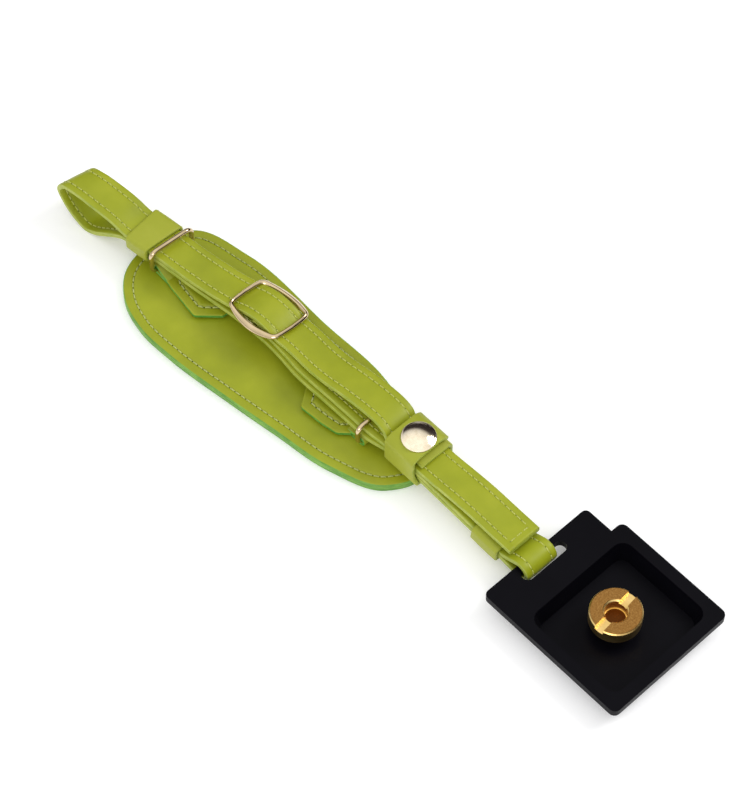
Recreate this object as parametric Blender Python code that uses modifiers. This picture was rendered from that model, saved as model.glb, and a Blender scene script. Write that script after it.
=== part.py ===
"""Leather camera hand strap: hand pad, threaded strap, press stud and a quarter-inch base plate.

The strap is one long band. Its first end is sewn round the slider's middle bar. From there it runs
through the lower ring, the press-stud band and the lower keeper, turns round the bar of the base
plate, comes back beneath itself all the way to the upper keeper, forms the finger loop, and returns
on top through the upper keeper, the upper ring and the slider to its free end over the lower keeper.
"""
import math

import bmesh
import bpy
from mathutils import Matrix, Vector

MM = 0.001

# General clearances
GAP = 0.25 * MM
BLEND = 0.05 * MM

# Strap
STRAP_WIDTH = 11.6 * MM
STRAP_THICKNESS = 1.7 * MM
FOLD_THICKNESS = 1.0 * MM
STRAP_EDGE = 0.3 * MM
STRAP_Y = -3.4 * MM
BEND_LENGTH = 30.0 * MM
BEND_SLOPE = 0.124
SEWN_END = 5.2 * MM
TURN_ARC = math.radians(120.0)

# Distances along the strap, measured between middles from the base plate outwards
BAR_TO_KEEPER = 12.7 * MM
KEEPER_TO_BAND = 33.3 * MM
BAND_TO_RING = 15.5 * MM
RING_TO_SLIDER = 47.2 * MM
RING_SPACING = 84.5 * MM
RING_TO_KEEPER = 7.1 * MM
LOOP_REACH = 31.6 * MM
LOOP_NOSE_TO_LOW = 12.0 * MM
TAIL_PAST_KEEPER = 8.7 * MM
BEND_BEFORE_SLIDER = 19.0 * MM

# Hand pad
PAD_LINING = 0.7 * MM
PAD_FOAM = 1.05 * MM
PAD_LEATHER = 0.95 * MM
FOAM_INSET = 1.6 * MM
PAD_EDGE = 0.25 * MM
PAD_WIDTH = 41.1 * MM
PAD_PAST_LOWER_RING = 18.9 * MM
PAD_PAST_UPPER_RING = 10.2 * MM
PAD_FAR_SIDE = 13.2 * MM
PAD_OUTLINE_SHARES = (
    (0.000, 0.560), (0.049, 0.873), (0.202, 1.000), (0.506, 1.000), (0.735, 0.988),
    (0.893, 0.854), (1.000, 0.586), (0.963, 0.382), (0.825, 0.207), (0.651, 0.131),
    (0.484, 0.066), (0.300, 0.010), (0.185, 0.012), (0.086, 0.098), (0.023, 0.260),
)

# Rings and their tabs
WIRE = 1.6 * MM
RING_WIDTH = 13.1 * MM
RING_SLACK = 0.3 * MM
RING_CORNER = 2.2 * MM
LOWER_RING_SHIFT = -1.6 * MM
TAB_LEATHER = 0.8 * MM
TAB_NECK_WIDTH = 11.8 * MM
TAB_SHOULDER_WIDTH = 18.0 * MM
TAB_SHOULDER = 19.5 * MM
TAB_LENGTH = 26.5 * MM
TAB_TIP_WIDTH = 1.6 * MM
TAB_UNDERLAP = 9.0 * MM
TAB_EDGE = 0.15 * MM

# Slider buckle
SLIDER_REACH = 8.9 * MM
SLIDER_SIDE = 7.4 * MM
SLIDER_SQUARENESS = 5.0
SLIDER_END_WIDTH = 1.5 * MM
SLIDER_END_HEIGHT = 1.4 * MM
SLIDER_SIDE_WIDTH = 2.5 * MM
SLIDER_SIDE_HEIGHT = 2.9 * MM
SLIDER_BAR = 1.6 * MM
SLIDER_SAG = 0.35 * MM

# Keepers
KEEPER_LEATHER = 1.0 * MM
KEEPER_CORNER = 1.4 * MM
KEEPER_EDGE = 0.2 * MM
UPPER_KEEPER_LENGTH = 9.6 * MM
LOWER_KEEPER_LENGTH = 10.0 * MM
LOWER_KEEPER_DROP = 0.35 * MM

# Press-stud band
BAND_LEATHER = 1.2 * MM
BAND_WIDTH = 13.0 * MM
FLAP_WIDTH = 11.5 * MM
BAND_CORNER = 1.9 * MM
BAND_LIFT = 1.5 * MM
BAND_UNDERLAP = 1.9 * MM
FLAP_BEND_RADIUS = 3.0 * MM
STUD_ROOM = 1.6 * MM
CAP_RADIUS = 5.1 * MM
CAP_HEIGHT = 1.8 * MM
CAP_RIM = 0.45 * MM
SOCKET_RADIUS = 3.9 * MM
SOCKET_HEIGHT = 0.9 * MM
STUD_FLANGE = 0.35 * MM
NUB_RADIUS = 1.9 * MM
POST_RADIUS = 1.1 * MM
POST_FLANGE = 0.3 * MM
POST_FLANGE_RADIUS = 3.2 * MM

# Finger loop
LOOP_NOSE_Z = 10.4 * MM
LOOP_TOP_Z = 14.3 * MM

# Base plate, with the screw on the vertical through x = y = 0
PLATE_LENGTH = 40.2 * MM
PLATE_WIDTH = 44.2 * MM
PLATE_CENTRE = (0.8 * MM, 0.4 * MM)
PLATE_CORNER = 2.0 * MM
PLATE_HEIGHT = 8.0 * MM
FLANGE_THICKNESS = 2.5 * MM
FLANGE_LIP = 0.5 * MM
BODY_TAPER = 2.4 * MM
RUBBER_THICKNESS = 0.8 * MM
FLOOR_THICKNESS = 0.8 * MM
RECESS_LENGTH = 32.5 * MM
RECESS_WIDTH = 36.8 * MM
RECESS_DRAFT = 1.6 * MM
RECESS_CORNER = 3.6 * MM
EAR_LENGTH = 10.0 * MM
EAR_NOTCH = 4.3 * MM
EAR_CORNER = 1.6 * MM
EAR_BAR = 2.0 * MM
SLOT_LENGTH = 16.4 * MM
SLOT_WIDTH = 3.7 * MM
SLOT_START = 11.4 * MM
EAR_TURN_ROOM = 0.75 * MM

# Captive tripod screw
HEAD_RADIUS = 7.5 * MM
HEAD_HEIGHT = 4.8 * MM
HEAD_CHAMFER = 0.4 * MM
SCREW_RAISE = 3.0 * MM
SOCKET_BORE_RADIUS = 3.2 * MM
SOCKET_BORE_DEPTH = 4.25 * MM
SOCKET_CHAMFER = 0.5 * MM
COIN_SLOT_WIDTH = 2.7 * MM
COIN_SLOT_DEPTH = 1.6 * MM
COIN_SLOT_TURN = math.radians(5.0)
STUD_RADIUS = 3.1 * MM
STUD_CHAMFER = 0.6 * MM
STUD_TIP_Z = 0.3 * MM
WASHER_RADIUS = 5.6 * MM
WASHER_THICKNESS = 0.5 * MM

# Places that follow from the sizes above
PLATE_NEAR_Y = PLATE_CENTRE[1] - PLATE_WIDTH / 2
PLATE_FAR_Y = PLATE_CENTRE[1] + PLATE_WIDTH / 2
EAR_START_X = PLATE_CENTRE[0] - PLATE_LENGTH / 2 - EAR_LENGTH
EAR_BAR_X = EAR_START_X + EAR_BAR / 2
SLOT_X = EAR_START_X + EAR_BAR + SLOT_WIDTH / 2
SLOT_Y = PLATE_NEAR_Y + SLOT_START + SLOT_LENGTH / 2
LOWER_KEEPER_X = EAR_BAR_X - BAR_TO_KEEPER
BAND_X = LOWER_KEEPER_X - KEEPER_TO_BAND
LOWER_RING_X = BAND_X - BAND_TO_RING
SLIDER_X = LOWER_RING_X - RING_TO_SLIDER
UPPER_RING_X = LOWER_RING_X - RING_SPACING
UPPER_KEEPER_X = UPPER_RING_X - RING_TO_KEEPER
LOOP_NOSE_X = UPPER_KEEPER_X - LOOP_REACH
LOOP_LOW_X = LOOP_NOSE_X + LOOP_NOSE_TO_LOW
TAIL_END_X = LOWER_KEEPER_X + TAIL_PAST_KEEPER
BEND_START_X = SLIDER_X + BEND_BEFORE_SLIDER
PAD_START_X = UPPER_RING_X - PAD_PAST_UPPER_RING
PAD_LENGTH = RING_SPACING + PAD_PAST_UPPER_RING + PAD_PAST_LOWER_RING
PAD_NEAR_Y = STRAP_Y + PAD_FAR_SIDE - PAD_WIDTH

# Levels that follow from the sizes above
HALF_STRAP = STRAP_THICKNESS / 2
LAYER = STRAP_THICKNESS + GAP
FOAM_Z = PAD_LINING + GAP
PAD_LEATHER_Z = FOAM_Z + PAD_FOAM + GAP
PAD_TOP = PAD_LEATHER_Z + PAD_LEATHER
TAB_LOW_Z = PAD_TOP + GAP + TAB_LEATHER / 2
TAB_EYE_RADIUS = WIRE / 2 + GAP + TAB_LEATHER / 2
RING_FOOT_Z = TAB_LOW_Z + TAB_EYE_RADIUS
TAB_HIGH_Z = TAB_LOW_Z + TAB_LEATHER + GAP
RETURN_RING_Z = RING_FOOT_Z + TAB_EYE_RADIUS + TAB_LEATHER / 2 + GAP + HALF_STRAP
SECOND_RING_Z = RETURN_RING_Z + LAYER
RING_HEAD_Z = SECOND_RING_Z + HALF_STRAP + GAP + RING_SLACK + WIRE / 2
OVER_RING_Z = RING_HEAD_Z + WIRE / 2 + GAP + HALF_STRAP
RETURN_SLIDER_Z = RETURN_RING_Z - SLIDER_SAG
OUTWARD_SLIDER_Z = RETURN_SLIDER_Z + LAYER
FOLD_RADIUS = SLIDER_BAR / 2 + GAP + FOLD_THICKNESS / 2
SLIDER_BAR_Z = RETURN_SLIDER_Z + HALF_STRAP + GAP + FOLD_RADIUS + FOLD_THICKNESS / 2
HUMP_Z = SLIDER_BAR_Z + FOLD_RADIUS + FOLD_THICKNESS / 2 + GAP + HALF_STRAP
UNDER_BAR_Z = OUTWARD_SLIDER_Z + LAYER
SLIDER_END_Z = UNDER_BAR_Z + HALF_STRAP + GAP + SLIDER_END_HEIGHT / 2
RETURN_BAND_Z = PAD_TOP + GAP + BAND_LIFT + BAND_LEATHER + GAP + HALF_STRAP
OUTWARD_BAND_Z = RETURN_BAND_Z + LAYER
TAIL_BAND_Z = OUTWARD_BAND_Z + LAYER
EAR_BAR_Z = PLATE_HEIGHT - FLANGE_THICKNESS / 2
TURN_RADIUS = math.hypot(EAR_BAR / 2, FLANGE_THICKNESS / 2) + EAR_TURN_ROOM - GAP + HALF_STRAP
RETURN_KEEPER_Z = EAR_BAR_Z - LOWER_KEEPER_DROP - LAYER / 2
RUN_START_X = BAND_X + BAND_WIDTH / 2 + 0.5 * MM
RUN_SLOPE = (RETURN_KEEPER_Z - RETURN_BAND_Z) / (LOWER_KEEPER_X - RUN_START_X)
TAIL_KEEPER_Z = RETURN_KEEPER_Z + 2 * LAYER + KEEPER_LEATHER + GAP

BODY_Z = RUBBER_THICKNESS + GAP
FLOOR_Z = BODY_Z + FLOOR_THICKNESS
WASHER_Z = FLOOR_Z + SCREW_RAISE
HEAD_Z = WASHER_Z + WASHER_THICKNESS + GAP
HEAD_TOP_Z = HEAD_Z + HEAD_HEIGHT

LIME = (0.366, 0.418, 0.030)
EDGE_GREEN = (0.130, 0.330, 0.045)
CHAMPAGNE = (0.80, 0.66, 0.44)
BRASS = (0.62, 0.36, 0.08)
SATIN_BLACK = (0.012, 0.012, 0.016)


def clear_scene():
    for scene_object in list(bpy.data.objects):
        bpy.data.objects.remove(scene_object, do_unlink=True)
    for group in list(bpy.data.collections):
        bpy.data.collections.remove(group)


def new_collection(name):
    group = bpy.data.collections.new(name)
    bpy.context.scene.collection.children.link(group)
    return group


def make_material(name, colour, metallic, roughness):
    material = bpy.data.materials.new(name)
    material.use_nodes = True
    shader = material.node_tree.nodes["Principled BSDF"]
    shader.inputs["Base Color"].default_value = (*colour, 1.0)
    shader.inputs["Metallic"].default_value = metallic
    shader.inputs["Roughness"].default_value = roughness
    return material


def mesh_object(name, bm, group):
    bmesh.ops.recalc_face_normals(bm, faces=bm.faces[:])
    mesh = bpy.data.meshes.new(name)
    bm.to_mesh(mesh)
    bm.free()
    made = bpy.data.objects.new(name, mesh)
    group.objects.link(made)
    return made


def mesh_from_curve(made):
    """Turns a curve object into a mesh object with its caps welded on."""
    depsgraph = bpy.context.evaluated_depsgraph_get()
    mesh = bpy.data.meshes.new_from_object(made.evaluated_get(depsgraph))
    bm = bmesh.new()
    bm.from_mesh(mesh)
    bmesh.ops.remove_doubles(bm, verts=bm.verts[:], dist=0.001 * MM)
    bmesh.ops.recalc_face_normals(bm, faces=bm.faces[:])
    bm.to_mesh(mesh)
    bm.free()
    name = made.name
    group = made.users_collection[0]
    place = made.matrix_world.copy()
    bpy.data.objects.remove(made, do_unlink=True)
    solid = bpy.data.objects.new(name, mesh)
    solid.matrix_world = place
    group.objects.link(solid)
    return solid


def add_bevel(made, width, segments=1, angle=math.radians(50)):
    bevel = made.modifiers.new("Rounded edges", "BEVEL")
    bevel.width = width
    bevel.segments = segments
    bevel.limit_method = "ANGLE"
    bevel.angle_limit = angle
    return bevel


def add_boolean(made, other, operation):
    boolean = made.modifiers.new(other.name, "BOOLEAN")
    boolean.operation = operation
    boolean.object = other
    boolean.solver = "EXACT"
    other.hide_render = True
    other.display_type = "WIRE"


def shade_round(made, angle=math.radians(35)):
    made.data.shade_smooth()
    made.data.set_sharp_from_angle(angle=angle)


def smooth_path(points, steps=4):
    """Points along a smooth curve through the given points.

    The first two values of a point are its place. Any further values change smoothly with them.
    """
    lengths = [math.dist(a[:2], b[:2]) for a, b in zip(points, points[1:])]
    rates = [
        [(b - a) / length for a, b in zip(start, end)]
        for start, end, length in zip(points, points[1:], lengths)
    ]
    slopes = [rates[0]]
    for index in range(1, len(points) - 1):
        before, after = lengths[index - 1], lengths[index]
        slopes.append([
            (a * after + b * before) / (before + after)
            for a, b in zip(rates[index - 1], rates[index])
        ])
    slopes.append(rates[-1])
    path = []
    for index, length in enumerate(lengths):
        for step in range(steps):
            t = step / steps
            path.append(tuple(
                a * (2 * t ** 3 - 3 * t ** 2 + 1) + b * (3 * t ** 2 - 2 * t ** 3)
                + length * (leave * (t ** 3 - 2 * t ** 2 + t) + arrive * (t ** 3 - t ** 2))
                for a, b, leave, arrive in zip(
                    points[index], points[index + 1], slopes[index], slopes[index + 1])
            ))
    path.append(tuple(points[-1]))
    return path


def smooth_outline(points, steps=6):
    """Points along a smooth closed curve through the given plan points."""
    count = len(points)
    wrapped = [points[-1], *points, points[0], points[1]]
    outline = smooth_path(wrapped, steps)
    return outline[steps:steps * (count + 1)]


def inset_outline(outline, inset):
    """The closed outline moved inwards by the inset."""
    count = len(outline)
    area = sum(
        outline[index][0] * outline[(index + 1) % count][1]
        - outline[(index + 1) % count][0] * outline[index][1]
        for index in range(count)
    )
    side = 1.0 if area > 0 else -1.0
    moved = []
    for index in range(count):
        before = Vector(outline[index - 1])
        after = Vector(outline[(index + 1) % count])
        along = (after - before).normalized()
        moved.append(tuple(Vector(outline[index]) + inset * side * Vector((-along.y, along.x))))
    return moved


def rounded_corners(corners, radius, closed=True, steps=5):
    """The polygon or path through the corners, with each corner turned by an arc."""
    count = len(corners)
    rounded = []
    for index, corner in enumerate(corners):
        here = Vector(corner)
        if not closed and index in (0, count - 1):
            rounded.append(tuple(here))
            continue
        arriving = (Vector(corners[index - 1]) - here).normalized()
        leaving = (Vector(corners[(index + 1) % count]) - here).normalized()
        half_angle = arriving.angle(leaving) / 2
        middle = here + (arriving + leaving).normalized() * (radius / math.sin(half_angle))
        start = (here + arriving * (radius / math.tan(half_angle)) - middle).normalized()
        end = (here + leaving * (radius / math.tan(half_angle)) - middle).normalized()
        for step in range(steps + 1):
            rounded.append(tuple(middle + radius * start.slerp(end, step / steps)))
    return rounded


def outline_plate(name, outline, low, high, group):
    """A flat plate with the given plan outline, from one height to another."""
    curve = bpy.data.curves.new(name, "CURVE")
    curve.dimensions = "2D"
    curve.fill_mode = "BOTH"
    curve.extrude = (high - low) / 2
    spline = curve.splines.new("POLY")
    spline.points.add(len(outline) - 1)
    for point, place in zip(spline.points, outline):
        point.co = (place[0], place[1], 0.0, 1.0)
    spline.use_cyclic_u = True
    made = bpy.data.objects.new(name, curve)
    made.location.z = (low + high) / 2
    group.objects.link(made)
    bpy.context.view_layer.update()
    return mesh_from_curve(made)


def tapered_block(name, low_outline, high_outline, low, high, group):
    """A block lofted between two outlines with the same number of points."""
    bm = bmesh.new()
    low_ring = [bm.verts.new((x, y, low)) for x, y in low_outline]
    high_ring = [bm.verts.new((x, y, high)) for x, y in high_outline]
    count = len(low_ring)
    for index in range(count):
        following = (index + 1) % count
        bm.faces.new((low_ring[index], low_ring[following], high_ring[following], high_ring[index]))
    bm.faces.new(low_ring[::-1])
    bm.faces.new(high_ring)
    return mesh_object(name, bm, group)


def rectangle(centre, length, width):
    x, y = centre
    return [
        (x - length / 2, y - width / 2), (x + length / 2, y - width / 2),
        (x + length / 2, y + width / 2), (x - length / 2, y + width / 2),
    ]


def turned(name, profile, location, group, steps=32):
    """A solid turned about the vertical from a profile of radius and height, top to bottom."""
    bm = bmesh.new()
    verts = [bm.verts.new((radius, 0.0, height)) for radius, height in profile]
    for start, end in zip(verts, verts[1:]):
        bm.edges.new((start, end))
    mesh = bpy.data.meshes.new(name)
    bm.to_mesh(mesh)
    bm.free()
    made = bpy.data.objects.new(name, mesh)
    made.location = location
    group.objects.link(made)
    screw = made.modifiers.new("Turning", "SCREW")
    screw.axis = "Z"
    screw.steps = steps
    screw.render_steps = steps
    screw.use_merge_vertices = True
    screw.merge_threshold = 0.001 * MM
    screw.use_smooth_shade = False
    return made


def strap_line(x):
    """Plan position of the strap's middle line, which bends towards the finger loop."""
    bent = BEND_START_X - x
    if bent <= 0:
        return STRAP_Y
    if bent < BEND_LENGTH:
        return STRAP_Y - BEND_SLOPE * bent ** 2 / (2 * BEND_LENGTH)
    return STRAP_Y - BEND_SLOPE * (bent - BEND_LENGTH / 2)


def strap_slope(x):
    bent = min(max(BEND_START_X - x, 0.0), BEND_LENGTH)
    return BEND_SLOPE * bent / BEND_LENGTH


def strap_frame(x):
    """Point on the middle line, and the level direction across the strap there."""
    across = Vector((-strap_slope(x), 1.0, 0.0)).normalized()
    return Vector((x, strap_line(x), 0.0)), across


def place_on_strap(made, x, shift=0.0):
    """Puts an object at a point on the strap's middle line, turned to lie along it."""
    point, across = strap_frame(x)
    made.location = point + across * shift
    made.rotation_euler.z = math.atan(strap_slope(x))


def leather_ribbon(name, stations, thickness, edge, group):
    """A band of leather. Each station is x, z, sideways shift, width and share of the thickness."""
    bm = bmesh.new()
    weights = bm.verts.layers.deform.verify()
    rows = []
    for x, z, shift, width, share in stations:
        point, across = strap_frame(x)
        point = point + across * shift + Vector((0.0, 0.0, z))
        row = [bm.verts.new(point - across * width / 2), bm.verts.new(point + across * width / 2)]
        for vert in row:
            vert[weights][0] = share
        rows.append(row)
    for before, after in zip(rows, rows[1:]):
        bm.faces.new((before[0], after[0], after[1], before[1]))
    mesh = bpy.data.meshes.new(name)
    bm.to_mesh(mesh)
    bm.free()
    made = bpy.data.objects.new(name, mesh)
    group.objects.link(made)
    made.vertex_groups.new(name="Thickness")
    solidify = made.modifiers.new("Leather thickness", "SOLIDIFY")
    solidify.thickness = thickness
    solidify.offset = 0.0
    solidify.use_even_offset = True
    solidify.vertex_group = "Thickness"
    add_bevel(made, edge)
    return made


def arc_stations(x, z, radius, start, end, steps):
    """Points on an arc in the strap's length and height, from one angle to another."""
    points = []
    for step in range(steps + 1):
        angle = start + (end - start) * step / steps
        points.append((x + radius * math.cos(angle), z + radius * math.sin(angle)))
    return points


def with_band(points, shift, width, share=1.0):
    return [(x, z, shift, width, share) for x, z in points]


def run_height(x):
    """Height of the returning layer on its straight way down from the band to the keeper."""
    return RETURN_KEEPER_Z + RUN_SLOPE * (x - LOWER_KEEPER_X)


def strap_stations():
    """The whole strap, from the sewn end at the slider to the free end over the lower keeper."""
    share = FOLD_THICKNESS / STRAP_THICKNESS
    width = STRAP_WIDTH
    shift_out = LOWER_RING_SHIFT / 2 - GAP
    shift_back = LOWER_RING_SHIFT - 0.3 * MM
    bar_x = SLIDER_X
    fold_top = SLIDER_BAR_Z + FOLD_RADIUS
    fold_low = SLIDER_BAR_Z - FOLD_RADIUS
    run_end = LOWER_KEEPER_X + LOWER_KEEPER_LENGTH / 2
    sewn_end = [
        (bar_x + SEWN_END, fold_top - 1.4 * MM),
        (bar_x + SEWN_END / 2, fold_top - 0.45 * MM),
    ]
    fold = arc_stations(
        bar_x, SLIDER_BAR_Z, FOLD_RADIUS, math.radians(90.0), math.radians(270.0), 10)
    outward = [
        (bar_x + 2.5 * MM, fold_low, 0.0, width, share),
        (bar_x + 6.0 * MM, OUTWARD_SLIDER_Z - 0.1 * MM, shift_out * 0.3, width, 0.85),
        (bar_x + 10.0 * MM, OUTWARD_SLIDER_Z, shift_out * 0.6, width, 1.0),
        (bar_x + 19.0 * MM, OUTWARD_SLIDER_Z, shift_out, width, 1.0),
        (LOWER_RING_X - 15.0 * MM, SECOND_RING_Z - 0.2 * MM, shift_out, width, 1.0),
        (LOWER_RING_X - 4.0 * MM, SECOND_RING_Z, shift_out, width, 1.0),
        (LOWER_RING_X + 2.0 * MM, SECOND_RING_Z, shift_out, width, 1.0),
        (BAND_X - 6.0 * MM, OUTWARD_BAND_Z, 0.0, width, 1.0),
        (BAND_X - 4.5 * MM, OUTWARD_BAND_Z, 0.0, width, 1.0),
        (RUN_START_X - 1.5 * MM, OUTWARD_BAND_Z, 0.0, width, 1.0),
        (RUN_START_X, OUTWARD_BAND_Z, 0.0, width, 1.0),
        (RUN_START_X + 3.0 * MM, run_height(RUN_START_X + 3.0 * MM) + LAYER, 0.0, width, 1.0),
        (LOWER_KEEPER_X, RETURN_KEEPER_Z + LAYER, 0.0, width, 1.0),
        (run_end - 0.8 * MM, run_height(run_end - 0.8 * MM) + LAYER, 0.0, width, 1.0),
        (run_end + 0.4 * MM, run_height(run_end + 0.4 * MM) + LAYER, 0.0, width, 1.0),
        (EAR_BAR_X - 5.3 * MM, EAR_BAR_Z + TURN_RADIUS * 0.24, 0.0, width, 1.0),
    ]
    turn = arc_stations(EAR_BAR_X, EAR_BAR_Z, TURN_RADIUS, TURN_ARC, -TURN_ARC, 16)
    returning = [
        (EAR_BAR_X - 5.3 * MM, EAR_BAR_Z - TURN_RADIUS * 0.69, 0.0, width, 1.0),
        (run_end + 0.4 * MM, run_height(run_end + 0.4 * MM), 0.0, width, 1.0),
        (run_end - 0.8 * MM, run_height(run_end - 0.8 * MM), 0.0, width, 1.0),
        (LOWER_KEEPER_X, RETURN_KEEPER_Z, 0.0, width, 1.0),
        (RUN_START_X + 3.0 * MM, run_height(RUN_START_X + 3.0 * MM), 0.0, width, 1.0),
        (RUN_START_X, RETURN_BAND_Z, 0.0, width, 1.0),
        (RUN_START_X - 1.5 * MM, RETURN_BAND_Z, 0.0, width, 1.0),
        (BAND_X - 4.5 * MM, RETURN_BAND_Z, 0.0, width, 1.0),
        (BAND_X - 6.0 * MM, RETURN_BAND_Z, 0.0, width, 1.0),
        (LOWER_RING_X + 2.0 * MM, RETURN_RING_Z, shift_back, width, 1.0),
        (LOWER_RING_X - 4.0 * MM, RETURN_RING_Z, shift_back, width, 1.0),
        (LOWER_RING_X - 15.0 * MM, RETURN_RING_Z - 0.2 * MM, shift_back, width, 1.0),
        (bar_x + 19.0 * MM, RETURN_SLIDER_Z, shift_back, width, 1.0),
        (bar_x + 8.0 * MM, RETURN_SLIDER_Z, shift_back * 0.6, width, 1.0),
        (bar_x - 8.0 * MM, RETURN_SLIDER_Z, 0.0, width, 1.0),
        (UPPER_RING_X + 12.0 * MM, RETURN_RING_Z - 0.1 * MM, 0.0, width, 1.0),
        (UPPER_RING_X, RETURN_RING_Z, 0.0, width, 1.0),
        (UPPER_KEEPER_X, RETURN_RING_Z, 0.0, width, 1.0),
        (UPPER_KEEPER_X - 4.5 * MM, RETURN_RING_Z, 0.0, width, 1.0),
        (UPPER_KEEPER_X - 5.6 * MM, RETURN_RING_Z - 0.04 * MM, 0.0, width, 1.0),
        (UPPER_KEEPER_X - 7.3 * MM, RETURN_RING_Z - 0.5 * MM, 0.0, width, 1.0),
        (UPPER_KEEPER_X - 10.2 * MM, RETURN_RING_Z - 2.6 * MM, -0.3 * MM, width, 1.0),
        (LOOP_LOW_X + 6.0 * MM, HALF_STRAP + 2.0 * MM, -0.9 * MM, width, 1.0),
        (LOOP_LOW_X, HALF_STRAP, -1.1 * MM, width, 1.0),
        (LOOP_LOW_X - 5.2 * MM, HALF_STRAP + 2.0 * MM, -0.8 * MM, width, 1.0),
        (LOOP_NOSE_X + 1.6 * MM, LOOP_NOSE_Z - 3.6 * MM, -0.2 * MM, width, 1.0),
        (LOOP_NOSE_X, LOOP_NOSE_Z, 0.0, width, 1.0),
        (LOOP_NOSE_X + 1.9 * MM, LOOP_NOSE_Z + 2.9 * MM, 0.0, width, 1.0),
        (LOOP_NOSE_X + 6.5 * MM, LOOP_TOP_Z, 0.0, width, 1.0),
        (LOOP_LOW_X + 1.0 * MM, LOOP_TOP_Z - 0.3 * MM, 0.0, width, 1.0),
        (UPPER_KEEPER_X - 10.8 * MM, SECOND_RING_Z + 1.7 * MM, 0.0, width, 1.0),
        (UPPER_KEEPER_X - 7.3 * MM, SECOND_RING_Z + 0.35 * MM, 0.0, width, 1.0),
        (UPPER_KEEPER_X - 5.6 * MM, SECOND_RING_Z + 0.04 * MM, 0.0, width, 1.0),
        (UPPER_KEEPER_X - 4.5 * MM, SECOND_RING_Z, 0.0, width, 1.0),
        (UPPER_KEEPER_X, SECOND_RING_Z, 0.0, width, 1.0),
        (UPPER_RING_X, SECOND_RING_Z, 0.0, width, 1.0),
        (UPPER_RING_X + 12.0 * MM, SECOND_RING_Z + 0.3 * MM, 0.0, width, 1.0),
        (bar_x - SLIDER_REACH - 3.0 * MM, UNDER_BAR_Z - 0.5 * MM, 0.0, width, 1.0),
        (bar_x - SLIDER_REACH + 0.4 * MM, UNDER_BAR_Z, 0.0, width, 1.0),
        (bar_x - 4.4 * MM, HUMP_Z - 0.7 * MM, 0.0, width, 1.0),
        (bar_x, HUMP_Z, 0.0, width, 1.0),
        (bar_x + 4.4 * MM, HUMP_Z - 0.7 * MM, 0.0, width, 1.0),
        (bar_x + SLIDER_REACH - 0.4 * MM, UNDER_BAR_Z, 0.0, width, 1.0),
        (bar_x + SLIDER_REACH + 3.0 * MM, UNDER_BAR_Z + 0.1 * MM, 0.0, width, 1.0),
        (LOWER_RING_X - 22.0 * MM, UNDER_BAR_Z + 0.8 * MM, 0.0, width, 1.0),
        (LOWER_RING_X - 8.0 * MM, OVER_RING_Z - 0.3 * MM, 0.0, width, 1.0),
        (LOWER_RING_X - 1.5 * MM, OVER_RING_Z + 0.1 * MM, 0.0, width, 1.0),
        (LOWER_RING_X + 2.2 * MM, OVER_RING_Z, 0.0, width, 1.0),
        (BAND_X - 9.0 * MM, TAIL_BAND_Z + 0.9 * MM, 0.0, width, 1.0),
        (BAND_X - 7.0 * MM, TAIL_BAND_Z + 0.15 * MM, 0.0, width, 1.0),
        (BAND_X - 5.0 * MM, TAIL_BAND_Z, 0.0, width, 1.0),
        (BAND_X + 7.0 * MM, TAIL_BAND_Z, 0.0, width, 1.0),
        (LOWER_KEEPER_X - 9.0 * MM, TAIL_KEEPER_Z + 0.75 * MM, 0.0, width, 1.0),
        (LOWER_KEEPER_X + 2.0 * MM, TAIL_KEEPER_Z + 0.4 * MM, 0.0, width, 1.0),
        (TAIL_END_X, TAIL_KEEPER_Z + 0.5 * MM, 0.0, width, 1.0),
    ]
    stations = with_band(sewn_end, 0.0, width, share)
    stations += with_band(fold, 0.0, width, share)
    stations += smooth_path(outward)
    stations += with_band(turn, 0.0, width)
    stations += smooth_path(returning)
    return stations


def make_strap(group, leather):
    strap = leather_ribbon("strap", strap_stations(), STRAP_THICKNESS, STRAP_EDGE, group)
    strap.data.materials.append(leather)
    return strap


def make_pad(group, leather, foam, lining):
    outline = smooth_outline([
        (PAD_START_X + along * PAD_LENGTH, PAD_NEAR_Y + across * PAD_WIDTH)
        for along, across in PAD_OUTLINE_SHARES
    ])
    foam_outline = inset_outline(outline, FOAM_INSET)
    layers = (
        ("pad_lining", outline, 0.0, PAD_LINING, lining),
        ("pad_foam", foam_outline, FOAM_Z, FOAM_Z + PAD_FOAM, foam),
        ("pad_leather", outline, PAD_LEATHER_Z, PAD_TOP, leather),
    )
    for name, shape, low, high, material in layers:
        layer = outline_plate(name, shape, low, high, group)
        if name == "pad_leather":
            add_bevel(layer, PAD_EDGE)
        layer.data.materials.append(material)
    return layer


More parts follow.
